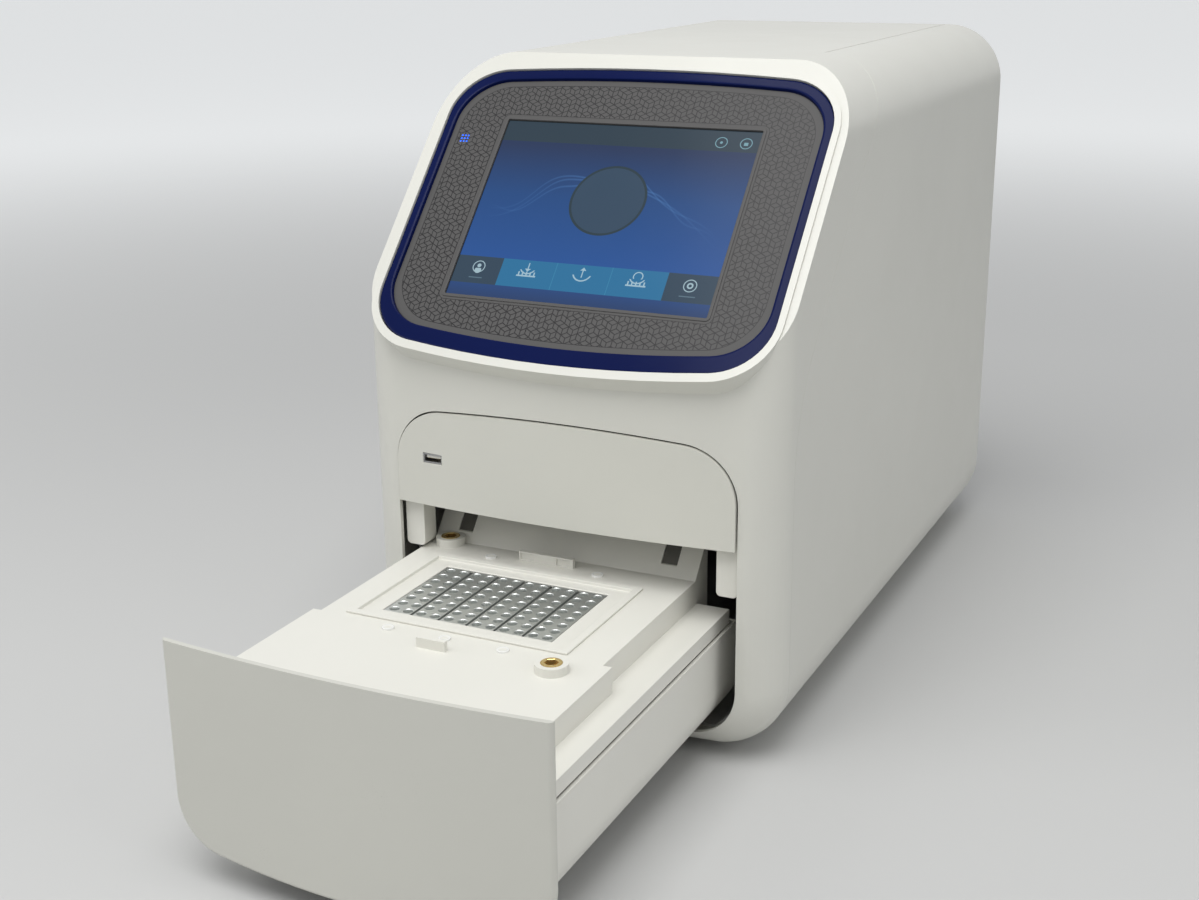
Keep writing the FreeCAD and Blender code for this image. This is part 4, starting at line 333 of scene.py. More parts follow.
# %% The plane of the display
LEAN = math.radians(90 - 42.6)
MIDDLE = Vector((0, -0.07865, 0.31545))
TILT = Matrix.Translation(MIDDLE) @ Matrix.Rotation(LEAN, 4, "X")


def display_coordinates(tree):
    spots = tree.nodes.new("ShaderNodeTexCoord")
    mapping = tree.nodes.new("ShaderNodeMapping")
    mapping.vector_type = "TEXTURE"
    feed(mapping, {"Vector": spots.outputs["Object"], "Location": MIDDLE, "Rotation": (LEAN, 0, 0)})
    split = tree.nodes.new("ShaderNodeSeparateXYZ")
    feed(split, {"Vector": mapping.outputs["Vector"]})
    return split.outputs["X"], split.outputs["Y"], split.outputs["Z"]


print("the display leans back by", round(90 - math.degrees(LEAN), 1), "degrees")

# %% [markdown]
# The bezel is matt grey-brown with thin dark lines that read as tumbling blocks. Such a pattern is a
# grid of hexagons, each with three spokes from its middle. For every point the material finds the
# nearest of two staggered grids of hexagon middles, then how far that point is from the hexagon's
# edge and from each spoke, and the smallest distance draws the line. Every hexagon also turns its
# spokes up or down by chance, which gives the loose, faceted look of the real bezel.

# %% Hexagon grid
CELL, LINE = 0.0066, 0.00030
FAR, CHANCE_STEP, OUT_OF_REACH = 200, 0.1, 10
bezel, tree, shader = new_material("bezel_blocks")
across, upward, _ = display_coordinates(tree)
do = Sums(tree)
u = do.make("DIVIDE", across, CELL)
v = do.make("DIVIDE", upward, CELL)
ROOT = math.sqrt(3)


def stagger(value, period, shift):
    """The signed distance from the nearest of many lines, one period apart, kept above nought at first."""
    moved = do.add(value, FAR * period + shift)
    return do.less(do.make("MODULO", moved, period), period / 2)


first = (stagger(u, 1, 0.5), stagger(v, ROOT, ROOT / 2))
second = (stagger(u, 1, 0), stagger(v, ROOT, 0))
reach = [do.add(do.times(a, a), do.times(b, b)) for a, b in (first, second)]
nearer = do.make("LESS_THAN", reach[0], reach[1])
farther = do.less(1, nearer)
gx, gy = [do.add(do.times(nearer, first[i]), do.times(farther, second[i])) for i in (0, 1)]
chance = tree.nodes.new("ShaderNodeTexWhiteNoise")
chance.noise_dimensions = "2D"
corner = tree.nodes.new("ShaderNodeCombineXYZ")
for place, (value, inner) in enumerate(((u, gx), (v, gy))):
    cell_middle = do.make("SNAP", do.add(do.less(value, inner), CHANCE_STEP / 2), CHANCE_STEP)
    feed(corner, {place: cell_middle})
feed(chance, {"Vector": corner.outputs[0]})
flip = do.less(do.times(do.make("GREATER_THAN", chance.outputs["Value"], 0.5), 2), 1)
print("hexagons across the bezel:", round(0.24 / CELL))

# %% Lines of the pattern
edges = []
for angle in (0, 60, 120):
    c, s = math.cos(math.radians(angle)), math.sin(math.radians(angle))
    along = do.add(do.times(gx, c), do.times(gy, s))
    edges.append(do.less(0.5, do.make("ABSOLUTE", along)))
turned = do.times(gy, flip)
for angle in (90, 210, 330):
    c, s = math.cos(math.radians(angle)), math.sin(math.radians(angle))
    along = do.add(do.times(gx, c), do.times(turned, s))
    side = do.make("ABSOLUTE", do.less(do.times(gx, s), do.times(turned, c)))
    behind = do.times(do.make("LESS_THAN", along, 0), OUT_OF_REACH)
    edges.append(do.add(side, behind))
closest = edges[0]
for distance in edges[1:]:
    closest = do.make("MINIMUM", closest, distance)
block_line = do.make("LESS_THAN", closest, LINE / CELL)

# %% [markdown]
# Two fine grooves bound the pattern: one a few millimetres inside the bezel's rounded outline, and
# one round the raised frame of the screen. Each is a shallow bump dent with painted shade in it: a
# dark line stands for the shadow in the groove. A rounded outline's distance field gives both. Away
# from a corner it is the distance to the nearest side, and within a corner it is the distance to the
# corner's own circle, so one formula with two clipped lengths serves the whole outline.

# %% Grooves round the pattern, with painted shade
def field(do, side, crown, corner_radius):
    """Distance outwards from a rounded outline, from its distances past two inner lines."""
    a, b = do.make("MAXIMUM", side, 0), do.make("MAXIMUM", crown, 0)
    inside = do.make("MINIMUM", do.make("MAXIMUM", side, crown), 0)
    return do.less(do.add(do.length(a, b), inside), corner_radius)


wide = do.make("ABSOLUTE", across)
HALF, TOP, FOOT, ROUND, ARC_UP, ARC_DOWN = 0.1217, 0.096, 0.0935, 0.032, 1.264, 0.744
side = do.less(wide, HALF - ROUND)
crown_up = do.less(do.length(across, do.less(upward, TOP - ARC_UP)), ARC_UP - ROUND)
crown_down = do.less(do.length(across, do.add(upward, FOOT - ARC_DOWN)), ARC_DOWN - ROUND)
rim = field(do, side, do.make("MAXIMUM", crown_up, crown_down), ROUND)
FRAME_HALF, FRAME_TALL, FRAME_ROUND = 0.0872, 0.0660, 0.003
glass_side = do.less(wide, FRAME_HALF - FRAME_ROUND)
glass_top = do.less(do.make("ABSOLUTE", upward), FRAME_TALL - FRAME_ROUND)
window = field(do, glass_side, glass_top, FRAME_ROUND)
INSIDE_RIM, OFF_WINDOW, GROOVE = -0.0042, 0.0017, 0.0002
# Painted shade: each groove is drawn as a dark line, for the shadow in it.
groove_shade_lines = do.make(
    "MAXIMUM", do.within(rim, INSIDE_RIM, 1.1 * GROOVE), do.within(window, OFF_WINDOW, GROOVE)
)
patterned = do.times(
    do.make("LESS_THAN", rim, INSIDE_RIM), do.make("GREATER_THAN", window, OFF_WINDOW)
)
line = do.make("MAXIMUM", do.times(block_line, patterned), groove_shade_lines)
print("the pattern ends", -INSIDE_RIM, "inside the rim and", OFF_WINDOW, "off the frame")

# %% Bezel finish
fine = add_noise(tree, 1800, 2)
# The dark lines are the printed pattern and, along the grooves, painted shade.
paint = laid_over(tree, line, (0.068, 0.066, 0.065), (0.010, 0.009, 0.010))
matt = roughness_range(tree, line, 0.5, 0.32)
sparkle = roughness_range(tree, fine.outputs["Fac"], -0.06, 0.06)
dent = tree.nodes.new("ShaderNodeBump")
dent.invert = True
feed(dent, {"Height": line, "Strength": 0.5, "Distance": 0.0001})
feed(shader, {
    "Base Color": paint, "Roughness": do.add(matt, sparkle), "Normal": dent.outputs["Normal"],
    "Specular IOR Level": 0.35,
})
finishes["bezel"] = bezel
print("bezel nodes:", len(tree.nodes))

# %% [markdown]
# The screen shows a start page: a slate bar along the top, a round button over a deep blue ground
# with faint waves, and a row of tiles with plain signs near the foot. Each shape is a mask of ones
# and noughts, made from distances across and up the glass, and each mask paints its colour over what
# lies below it, as sheets of coloured film would. A real display shines, so the result is sent out
# as light as well.

# %% Ground of the screen
screen, tree, shader = new_material("lit_screen")
metres_across, metres_up, metres_out = display_coordinates(tree)
do = Sums(tree)
x = do.times(metres_across, 1000)
y = do.times(metres_up, 1000)
SCREEN_HALF = 64
height = do.make("DIVIDE", do.add(y, SCREEN_HALF), 2 * SCREEN_HALF)
ground = tree.nodes.new("ShaderNodeValToRGB")
stops = (
    (0.0, (0.028, 0.058, 0.155)), (0.2, (0.025, 0.098, 0.34)), (0.58, (0.022, 0.078, 0.245)),
    (0.86, (0.026, 0.044, 0.11)),
)
ground.color_ramp.elements[0].position, ground.color_ramp.elements[1].position = stops[0][0], stops[-1][0]
for position, colour in stops[1:-1]:
    ground.color_ramp.elements.new(position)
for element, (position, colour) in zip(ground.color_ramp.elements, stops):
    element.color = (*colour, 1)
feed(ground, {"Fac": height})
picture = ground.outputs["Color"]


def film(mask, colour, strength=1.0):
    """Paints a colour over the picture where the mask is one."""
    global picture
    picture = laid_over(tree, do.times(mask, strength), picture, colour)


def bar(middle_x, middle_y, half_x, half_y):
    return do.times(do.within(x, middle_x, half_x), do.within(y, middle_y, half_y))


def from_spot(spot_x, spot_y):
    return do.length(do.less(x, spot_x), do.less(y, spot_y))


def any_of(*masks):
    total = masks[0]
    for mask in masks[1:]:
        total = do.make("MAXIMUM", total, mask)
    return total


# %% Waves
FALL_START, FALL, RIPPLE, WAVE_THICK, FADED_AT = 14, 0.62, 2.5, 0.9, 78
for rise, middle_x, spread, foot, pace, phase in (
    (31, -45, 13, -5, 0.11, 0.4), (26, -40, 17, -2, 0.17, 2.1), (22, -50, 10, 1, 0.08, 4.0),
):
    step_up = do.make("TANH", do.make("DIVIDE", do.less(x, middle_x), spread))
    climb = do.add(do.times(step_up, rise / 2), foot + rise / 2)
    fall = do.times(do.make("MAXIMUM", do.less(x, FALL_START), 0), FALL)
    ripple = do.times(do.make("SINE", do.add(do.times(x, pace), phase)), RIPPLE)
    wave = do.add(do.less(climb, fall), ripple)
    off_line = do.make("DIVIDE", do.make("ABSOLUTE", do.less(y, wave)), WAVE_THICK)
    nearness = do.less(1, do.make("MINIMUM", off_line, 1))
    edge_fade = do.make("MAXIMUM", do.less(1, do.make("DIVIDE", do.make("ABSOLUTE", x), FADED_AT)), 0)
    film(do.times(nearness, edge_fade), (0.10, 0.27, 0.62), 0.5)

# %% Bars, tiles and the round button
TILES_Y, TILES_HALF, PAST_EDGE = -45.4, 9.4, 90
film(bar(0, 56.4, PAST_EDGE, 7.7), (0.033, 0.055, 0.075))
button = from_spot(0.5, 9.5)
film(do.make("LESS_THAN", button, 24.8), (0.030, 0.052, 0.065))
film(do.make("LESS_THAN", button, 23.2), (0.043, 0.078, 0.125))
film(bar(0, TILES_Y, PAST_EDGE, TILES_HALF), (0.040, 0.070, 0.105))
film(bar(0, TILES_Y, 54, TILES_HALF), (0.030, 0.185, 0.37))
seams = [bar(seam_x, TILES_Y, 0.25, TILES_HALF) for seam_x in (-17.8, 18.4)]
film(any_of(*seams), (0.05, 0.26, 0.45), 0.8)
print("screen nodes before the signs:", len(tree.nodes))

# %% [markdown]
# The signs on the tiles are simple line drawings in white: a tray with an arrow into it, a dish under
# a drop, a tray with a turning arrow, a head and shoulders in a ring, and a cog. They are built from
# the same bars, rings and discs, and the tops of three rings are cut away to leave dishes.

# %% Signs
WHITE = (0.52, 0.72, 0.80)
SIGN_Y = -43.2


def ring(spot_x, spot_y, radius, thick):
    return do.within(from_spot(spot_x, spot_y), radius, thick / 2)


def disc(spot_x, spot_y, radius):
    return do.make("LESS_THAN", from_spot(spot_x, spot_y), radius)


def lower(mask, level):
    return do.times(mask, do.make("LESS_THAN", y, level))


def tray(middle_x):
    walls = [bar(middle_x + 2.56 * step, SIGN_Y - 2.4, 0.45, 1.6) for step in range(-2, 3)]
    dish = lower(ring(middle_x, SIGN_Y + 3.2, 5.2, 0.8), SIGN_Y + 0.6)
    return any_of(bar(middle_x, SIGN_Y - 3.6, 6.4, 0.5), dish, *walls)


def arrow(middle_x, low, high, way):
    head = do.times(do.less(y, low if way < 0 else high), way)
    slope = do.less(do.times(head, -1), do.make("ABSOLUTE", do.less(x, middle_x)))
    point = low if way < 0 else high
    tip = do.times(do.make("GREATER_THAN", slope, 0), do.within(y, point - way, 1.0))
    return any_of(bar(middle_x, (low + high) / 2, 0.35, (high - low) / 2), tip)


signs = [
    tray(-36), arrow(-36, SIGN_Y - 0.6, SIGN_Y + 5.4, -1),
    lower(ring(0, SIGN_Y + 2.4, 6.0, 0.9), SIGN_Y + 0.2), arrow(0, SIGN_Y - 1.4, SIGN_Y + 5.4, 1),
    tray(35.6), do.times(ring(35.6, SIGN_Y + 2.6, 2.9, 0.7), do.make("GREATER_THAN", y, SIGN_Y + 1.0)),
    ring(-69, SIGN_Y, 3.9, 0.6), disc(-69, SIGN_Y + 0.8, 1.3),
    lower(disc(-69, SIGN_Y - 2.4, 2.2), SIGN_Y - 1.0),
    ring(69, SIGN_Y - 0.4, 3.9, 0.6), ring(69, SIGN_Y - 0.4, 1.5, 1.0),
]
film(any_of(*signs), WHITE, 0.75)
corner_signs = [
    ring(60.7, 55, 3.6, 0.55), disc(60.7, 55, 0.9), ring(76.4, 55, 3.6, 0.55), bar(76.4, 54.6, 1.3, 1.1),
]
film(any_of(*corner_signs), (0.25, 0.48, 0.56), 0.8)
film(any_of(bar(-69, -50.8, 4.5, 0.35), bar(69, -50.8, 5.0, 0.35)), (0.2, 0.32, 0.4), 0.5)

# %% Screen finish
to_display = TILT.inverted()
glass_level = max((to_display @ vertex.co).z for vertex in nodes["touch_screen"].data.vertices)
at_front = do.make("GREATER_THAN", metres_out, glass_level - 0.0003)
print("glass level:", round(glass_level, 5))
smear = add_noise(tree, 40, 4)
feed(shader, {
    "Base Color": (0.006, 0.008, 0.012, 1), "Specular IOR Level": 0.1, "Emission Color": picture,
    "Emission Strength": do.times(at_front, 0.86),
    "Roughness": roughness_range(tree, smear.outputs["Fac"], 0.12, 0.22),
})
finishes["screen"] = screen
print("screen nodes:", len(tree.nodes))

# %% [markdown]
# Every CAD node keeps its shape and gets the finish of its slot on all of its faces.

# %% Finishes on the CAD nodes
for name, node in nodes.items():
    node.data.materials.clear()
    node.data.materials.append(finishes[slot_of[name]])
    for face in node.data.polygons:
        face.material_index = 0
print("dressed:", len(slot_of))

# %% [markdown]
# What follows works on one piece at a time. These helpers select a piece, start and repeat simple
# shapes, and round, cut or join pieces with modifiers and operators that are applied at once.

# %% Helpers for one piece at a time
TOUCHING = 0.00001
FLAT_DEGREES = 0.6


def leave_edit():
    bpy.ops.object.mode_set(mode="OBJECT")


def nothing_selected():
    if bpy.context.object and bpy.context.object.mode != "OBJECT":
        leave_edit()
    bpy.ops.object.select_all(action="DESELECT")


def only(*pieces):
    """Object mode, with just these pieces selected and the first one active."""
    nothing_selected()
    for piece in pieces:
        piece.select_set(True)
    bpy.context.view_layer.objects.active = pieces[0]


def edit_all(piece):
    """Edit mode on one piece, with all of it selected."""
    only(piece)
    bpy.ops.object.mode_set(mode="EDIT")
    bpy.ops.mesh.select_all(action="SELECT")


def apply_place(piece):
    only(piece)
    bpy.ops.object.transform_apply(location=True, rotation=True, scale=True)


def block(size, place=(0, 0, 0), turn=0):
    """A cube drawn out to a size, at a place and turned about the upright axis."""
    nothing_selected()
    bpy.ops.mesh.primitive_cube_add(size=1, location=place, rotation=(0, 0, turn))
    piece = bpy.context.object
    piece.scale = size
    apply_place(piece)
    return piece


def cylinder(sides, radius, tall, place=(0, 0, 0)):
    nothing_selected()
    bpy.ops.mesh.primitive_cylinder_add(vertices=sides, radius=radius, depth=tall, location=place)
    return bpy.context.object


def repeated(piece, count, step, merged=False):
    """Copies in a row, one step apart, applied. Cells that touch can be merged."""
    only(piece)
    row = piece.modifiers.new("row", "ARRAY")
    row.count = count
    row.use_relative_offset = False
    row.use_constant_offset = True
    row.constant_offset_displace = step
    row.use_merge_vertices = merged
    row.merge_threshold = TOUCHING
    bpy.ops.object.modifier_apply(modifier=row.name)
    return piece


def joined(pieces):
    only(*pieces)
    bpy.ops.object.join()
    return bpy.context.object


def merged_copy(node_name, name):
    """A copy of a CAD node with its loose triangles joined into flat faces."""
    piece = bpy.data.objects.new(name, nodes[node_name].data.copy())
    piece.data.name = name
    bpy.context.scene.collection.objects.link(piece)
    edit_all(piece)
    bpy.ops.mesh.remove_doubles(threshold=TOUCHING)
    bpy.ops.mesh.dissolve_limited(angle_limit=math.radians(FLAT_DEGREES))
    leave_edit()
    return piece


def round_off(piece, width, segments=2, sharp=28):
    """A small round on every sharp edge, applied."""
    only(piece)
    small = piece.modifiers.new("small_round", "BEVEL")
    small.width = width
    small.segments = segments
    small.limit_method = "ANGLE"
    small.angle_limit = math.radians(sharp)
    small.use_clamp_overlap = True
    bpy.ops.object.modifier_apply(modifier=small.name)


def round_some(piece, width, test, segments=6, sharp=30):
    """A larger round on just those sharp edges whose two ends pass a test, applied."""
    only(piece)
    mesh = piece.data
    beside = {}
    for face in mesh.polygons:
        for key in face.edge_keys:
            beside.setdefault(key, []).append(face.normal)
    weights = mesh.attributes.new("bevel_weight_edge", "FLOAT", "EDGE")
    for edge in mesh.edges:
        normals = beside[edge.key]
        meets = len(normals) == 2 and normals[0].angle(normals[1]) > math.radians(sharp)
        ends = [mesh.vertices[end].co for end in edge.vertices]
        weights.data[edge.index].value = float(meets and test(*ends))
    print(piece.name, "edges rounded:", sum(item.value > 0 for item in weights.data))
    large = piece.modifiers.new("large_round", "BEVEL")
    large.width = width
    large.segments = segments
    large.limit_method = "WEIGHT"
    large.use_clamp_overlap = True
    bpy.ops.object.modifier_apply(modifier=large.name)


def cut_away(piece, tool):
    """Takes the tool's volume out of the piece, and then removes the tool."""
    only(piece)
    cut = piece.modifiers.new("cut", "BOOLEAN")
    cut.operation = "DIFFERENCE"
    cut.solver = "EXACT"
    cut.object = tool
    bpy.ops.object.modifier_apply(modifier=cut.name)
    bpy.data.objects.remove(tool)


def smooth_shade(piece, smooth):
    """Smooth shading up to an angle, with large flat faces kept flat beside their small rounds."""
    only(piece)
    bpy.ops.object.shade_smooth_by_angle(angle=math.radians(smooth))
    flat = piece.modifiers.new("flat_faces", "WEIGHTED_NORMAL")
    flat.keep_sharp = True
    flat.weight = 100
    bpy.ops.object.modifier_apply(modifier=flat.name)


def stand_for(piece, node_name, smooth=32):
    """The piece is smooth shaded, rides on the node's body and takes its place."""
    smooth_shade(piece, smooth)
    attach(piece, body_of[node_name])
    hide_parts(node_name)
    print(piece.name, len(piece.data.polygons), "faces")


# %% [markdown]
# The pieces that the eye meets first are made again as copies with softened edges. A moulding or a
# milled edge never ends in a knife edge, and the thin bright line along a small round is what makes
# it look solid.

# %% Softened copies
PLAIN_EDGE = 0.0005
soft_edges = {
    "front_top_shell": 0.0009, "right_side_panel": 0.0006, "left_side_panel": 0.0006, "visor_panel": 0.0009,
    "plate_frame": 0.0005, "bay_frame": 0.0006, "display_ring": 0.0018, "drawer_tub": 0.0006,
    "base_plate": 0.0006, "feet": 0.0008,
    "rear_panel": 0.0003, "power_inlet": 0.0005, "switch_housing": 0.0005, "power_rocker": 0.0008,
}
for name, width in soft_edges.items():
    soft = merged_copy(name, f"{name}_finished")
    # The visor's copy takes that tone, painted light for the light thrown up from the deck.
    if name == "visor_panel":
        soft.data.materials[0] = finishes["visor"]
    round_off(soft, width)
    stand_for(soft, name)

# %% [markdown]
# The tab behind the plate has two shallow recesses in its face, where the plate's latch rests. Each
# is cut by a box, before the edges are rounded.

# %% Deck with its recessed tab
deck_piece = merged_copy("deck_cover", "deck_cover_finished")
RECESS = (0.0094, 0.0026, 0.0042)
RECESS_X, RECESS_Y, RECESS_Z = (-0.0288, -0.0042), -0.1283, 0.1080
for recess_x in RECESS_X:
    cut_away(deck_piece, block(RECESS, (recess_x, RECESS_Y, RECESS_Z)))
round_off(deck_piece, PLAIN_EDGE)
stand_for(deck_piece, "deck_cover")

# %% [markdown]
# The drawer's front is a thin bowed moulding that turns back at its sides and foot in a larger round
# than a plain edge has. The outer outline of its bowed face is picked by place, without the top
# edge, which stays crisp.

# %% Drawer front
front_low, front_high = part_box("drawer_front")
front_width = front_high[0] - front_low[0]
BOW, FRONT_ROUND, NEAR = 0.006, 0.0027, 0.0002
bow_radius = (front_width ** 2 / 4 + BOW ** 2) / (2 * BOW)


def on_front_outline(a, b):
    for end in (a, b):
        face_at = front_low[1] + bow_radius - math.sqrt(bow_radius ** 2 - end.x ** 2)
        if abs(end.y - face_at) > NEAR:
            return False
    return min(a.z, b.z) < front_high[2] - NEAR


front_piece = merged_copy("drawer_front", "drawer_front_finished")
round_some(front_piece, FRONT_ROUND, on_front_outline)
round_off(front_piece, PLAIN_EDGE)
stand_for(front_piece, "drawer_front")

# %% [markdown]
# New pieces start from a primitive and are shaped in edit mode. Edit mode works on what is selected,
# so one helper selects faces or edges by a test on their place, and another ends a piece: its place
# goes into its mesh, its normals face outwards, and it gets its finish and its body. Two short tests
# on faces serve several pieces.

# %% Picking and settling
MOSTLY = 0.9


def faces_up(centre, normal):
    return normal.z > MOSTLY


def faces_up_on_axis(centre, normal):
    return normal.z > MOSTLY and centre.xy.length < 10 * TOUCHING


def pick(piece, kind, test):
    """In edit mode, selects just the faces or edges that pass a test."""
    bpy.ops.object.mode_set(mode="EDIT")
    bpy.ops.mesh.select_mode(type=kind)
    bpy.ops.mesh.select_all(action="DESELECT")
    leave_edit()
    mesh = piece.data
    if kind == "FACE":
        for face in mesh.polygons:
            face.select = test(face.center, face.normal)
    else:
        for edge in mesh.edges:
            edge.select = test(*[mesh.vertices[end].co for end in edge.vertices])
    bpy.ops.object.mode_set(mode="EDIT")


def settle(piece, name, body, finish, smooth=32, place=None):
    if place is not None:
        piece.matrix_world = place @ piece.matrix_world
    apply_place(piece)
    edit_all(piece)
    bpy.ops.mesh.remove_doubles(threshold=TOUCHING / 2)
    bpy.ops.mesh.normals_make_consistent(inside=False)
    smooth_shade(piece, smooth)
    piece.name = name
    piece.data.name = name
    piece.data.materials.clear()
    piece.data.materials.append(finishes[finish])
    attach(piece, body)
    print(name, len(piece.data.polygons), "faces")
    return piece


# %% [markdown]
# A raised frame holds the glass, two millimetres wide with rounded corners. A plane is given round
# corners, inset to the width of the frame, its middle is taken out, and the ring that is left is
# pulled up and its edges are rounded.

# %% Frame round the glass
BEZEL_FACE = -0.002
FRAME_WIDE, FRAME_PROUD, FRAME_SEAT = 0.0021, 0.0005, 0.0006
nothing_selected()
bpy.ops.mesh.primitive_plane_add(size=1)
glass_frame = bpy.context.object
glass_frame.scale = (2 * FRAME_HALF, 2 * FRAME_TALL, 1)
apply_place(glass_frame)
edit_all(glass_frame)
bpy.ops.mesh.bevel(offset=FRAME_ROUND, segments=6, affect="VERTICES")
bpy.ops.mesh.select_all(action="SELECT")
bpy.ops.mesh.inset(thickness=FRAME_WIDE)
bpy.ops.mesh.delete(type="FACE")
bpy.ops.mesh.select_all(action="SELECT")
bpy.ops.mesh.extrude_region_move(TRANSFORM_OT_translate={"value": (0, 0, FRAME_SEAT + FRAME_PROUD)})
leave_edit()
round_off(glass_frame, FRAME_WIDE / 6)
on_bezel = TILT @ Matrix.Translation((0, 0, BEZEL_FACE - FRAME_SEAT))
settle(glass_frame, "glass_frame", "housing", "bezel", place=on_bezel)

# %% [markdown]
# The sample block is six milled zones of two columns. One well is modelled as a cell: a disc whose
# edge is drawn out to the cell's rectangle, and whose middle is set down twice, first for the
# chamfer at the mouth and then for the long cone. An array repeats a cell along its column, two
# columns are joined to a zone, and the zone's outline is pulled down for its walls.

# %% One well cell
PITCH, WELL, GAP, WIDER = 0.009, 0.0031, 0.0017, 1.3
COLUMNS, ROWS, SIDES = 12, 8, 24
CHAMFER, CONE_INWARD, CONE_DEPTH = 0.00035, 0.0016, 0.0135
block_low, block_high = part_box("sample_block")
BLOCK_TOP = block_high[2]
BLOCK_TALL = block_high[2] - block_low[2]
BLOCK_MIDDLE = [(low + high) / 2 for low, high in zip(block_low, block_high)]


def well_cell(left, right, place):
    """One cell of a zone, its well in the middle, reaching left and right to given widths."""
    nothing_selected()
    bpy.ops.mesh.primitive_circle_add(vertices=SIDES, radius=WELL, fill_type="NGON")
    cell = bpy.context.object
    pick(cell, "EDGE", lambda a, b: True)
    bpy.ops.mesh.extrude_edges_move()
    bpy.ops.transform.resize(value=(WIDER, WIDER, 1))
    leave_edit()
    for corner in cell.data.vertices:
        if corner.co.length > (1 + WIDER) / 2 * WELL:
            stretch = max(abs(corner.co.x), abs(corner.co.y))
            side_reach = left if corner.co.x < 0 else right
            corner.co.x *= side_reach / stretch
            corner.co.y *= PITCH / 2 / stretch
    pick(cell, "FACE", lambda centre, normal: centre.length < TOUCHING)
    bpy.ops.mesh.inset(thickness=CHAMFER, depth=-CHAMFER)
    bpy.ops.mesh.inset(thickness=CONE_INWARD, depth=-CONE_DEPTH)
    leave_edit()
    cell.location = place
    apply_place(cell)
    return repeated(cell, ROWS, (0, PITCH, 0), merged=True)


# %% Six zones
first_x = BLOCK_MIDDLE[0] - (COLUMNS - 1) / 2 * PITCH
first_y = BLOCK_MIDDLE[1] - (ROWS - 1) / 2 * PITCH
zones = []
for zone in range(COLUMNS // 2):
    full, outer = PITCH / 2, (PITCH - GAP) / 2
    left = full if zone == 0 else outer
    right = full if zone == COLUMNS // 2 - 1 else outer
    west = first_x + 2 * zone * PITCH
    pair = [
        well_cell(left, full, (west, first_y, BLOCK_TOP)),
        well_cell(full, right, (west + PITCH, first_y, BLOCK_TOP)),
    ]
    piece = joined(pair)
    edit_all(piece)
    bpy.ops.mesh.remove_doubles(threshold=TOUCHING)
    bpy.ops.mesh.select_mode(type="EDGE")
    bpy.ops.mesh.select_all(action="DESELECT")
    bpy.ops.mesh.select_non_manifold(
        extend=False, use_wire=False, use_multi_face=False, use_non_contiguous=False, use_verts=False)
    bpy.ops.mesh.extrude_edges_move(TRANSFORM_OT_translate={"value": (0, 0, -BLOCK_TALL)})
    bpy.ops.mesh.edge_face_add()
    leave_edit()
    zones.append(piece)
milled = settle(joined(zones), "sample_block_finished", "drawer", "block", smooth=25)
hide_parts("sample_block")

# %% [markdown]
# Each bushing is a turned brass ring with a hexagon socket in its mouth. A cylinder's top is inset,
# and its inner loop is moved onto a hexagon, chamfered and set down for the socket. The floor of the
# socket is inset again, moved back onto a circle and set down almost to the foot for the bore.

# %% Brass bushings
def onto_hexagon(piece, half_width, level, below):
    """Moves the inner loop of vertices at one level onto a hexagon's outline."""
    sector = math.pi / 3
    for vertex in piece.data.vertices:
        if abs(vertex.co.z - level) < TOUCHING and vertex.co.xy.length < below:
            angle = math.atan2(vertex.co.y, vertex.co.x)
            reach = half_width / math.cos((angle + sector / 2) % sector - sector / 2)
            vertex.co.x, vertex.co.y = reach * math.cos(angle), reach * math.sin(angle)


BUSH, SOCKET, BORE, OUTER_ROUND = 0.006, 0.00345, 0.0031, 0.0004
MOUTH_RIM, MOUTH_CHAMFER, SOCKET_DEPTH, BORE_LEDGE, BUSH_FLOOR = 0.0018, 0.0003, 0.0032, 0.0002, 0.0010
bush_low, bush_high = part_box("locating_bushings")
bush_tall = bush_high[2] - bush_low[2]
bushings = []
for place in ((bush_low[0] + BUSH, bush_high[1] - BUSH), (bush_high[0] - BUSH, bush_low[1] + BUSH)):
    bush = cylinder(48, BUSH, bush_tall)
    top = bush_tall / 2
    pick(bush, "FACE", faces_up)
    bpy.ops.mesh.inset(thickness=MOUTH_RIM)
    leave_edit()
    onto_hexagon(bush, SOCKET + MOUTH_CHAMFER, top, BUSH - MOUTH_RIM / 2)
    pick(bush, "FACE", faces_up_on_axis)
    bpy.ops.mesh.inset(thickness=MOUTH_CHAMFER, depth=-MOUTH_CHAMFER)
    bpy.ops.mesh.extrude_region_move(TRANSFORM_OT_translate={"value": (0, 0, -SOCKET_DEPTH)})
    bpy.ops.mesh.inset(thickness=BORE_LEDGE)
    leave_edit()
    for vertex in bush.data.vertices:
        if vertex.select:
            vertex.co.x, vertex.co.y = vertex.co.xy.normalized() * BORE
    pick(bush, "FACE", faces_up_on_axis)
    bore_depth = bush_tall - MOUTH_CHAMFER - SOCKET_DEPTH - BUSH_FLOOR
    bpy.ops.mesh.extrude_region_move(TRANSFORM_OT_translate={"value": (0, 0, -bore_depth)})
    leave_edit()
    pick(bush, "EDGE", lambda a, b: (
        min(a.z, b.z) > top - TOUCHING and min(a.xy.length, b.xy.length) > 0.98 * BUSH))
    bpy.ops.mesh.bevel(offset=OUTER_ROUND, segments=2)
    leave_edit()
    bush.location = (*place, (bush_low[2] + bush_high[2]) / 2)
    apply_place(bush)
    bushings.append(bush)
turned_pair = settle(joined(bushings), "locating_bushings_finished", "drawer", "brass", smooth=25)
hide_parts("locating_bushings")

# %% [markdown]
# The socket on the visor has a bright metal liner, a tongue with four gilt contacts, and a dark
# throat. The liner is a box whose front is inset by the sheet's thickness and pushed in. The contacts
# are thin strips with rounded edges, modelled once and copied across the tongue.

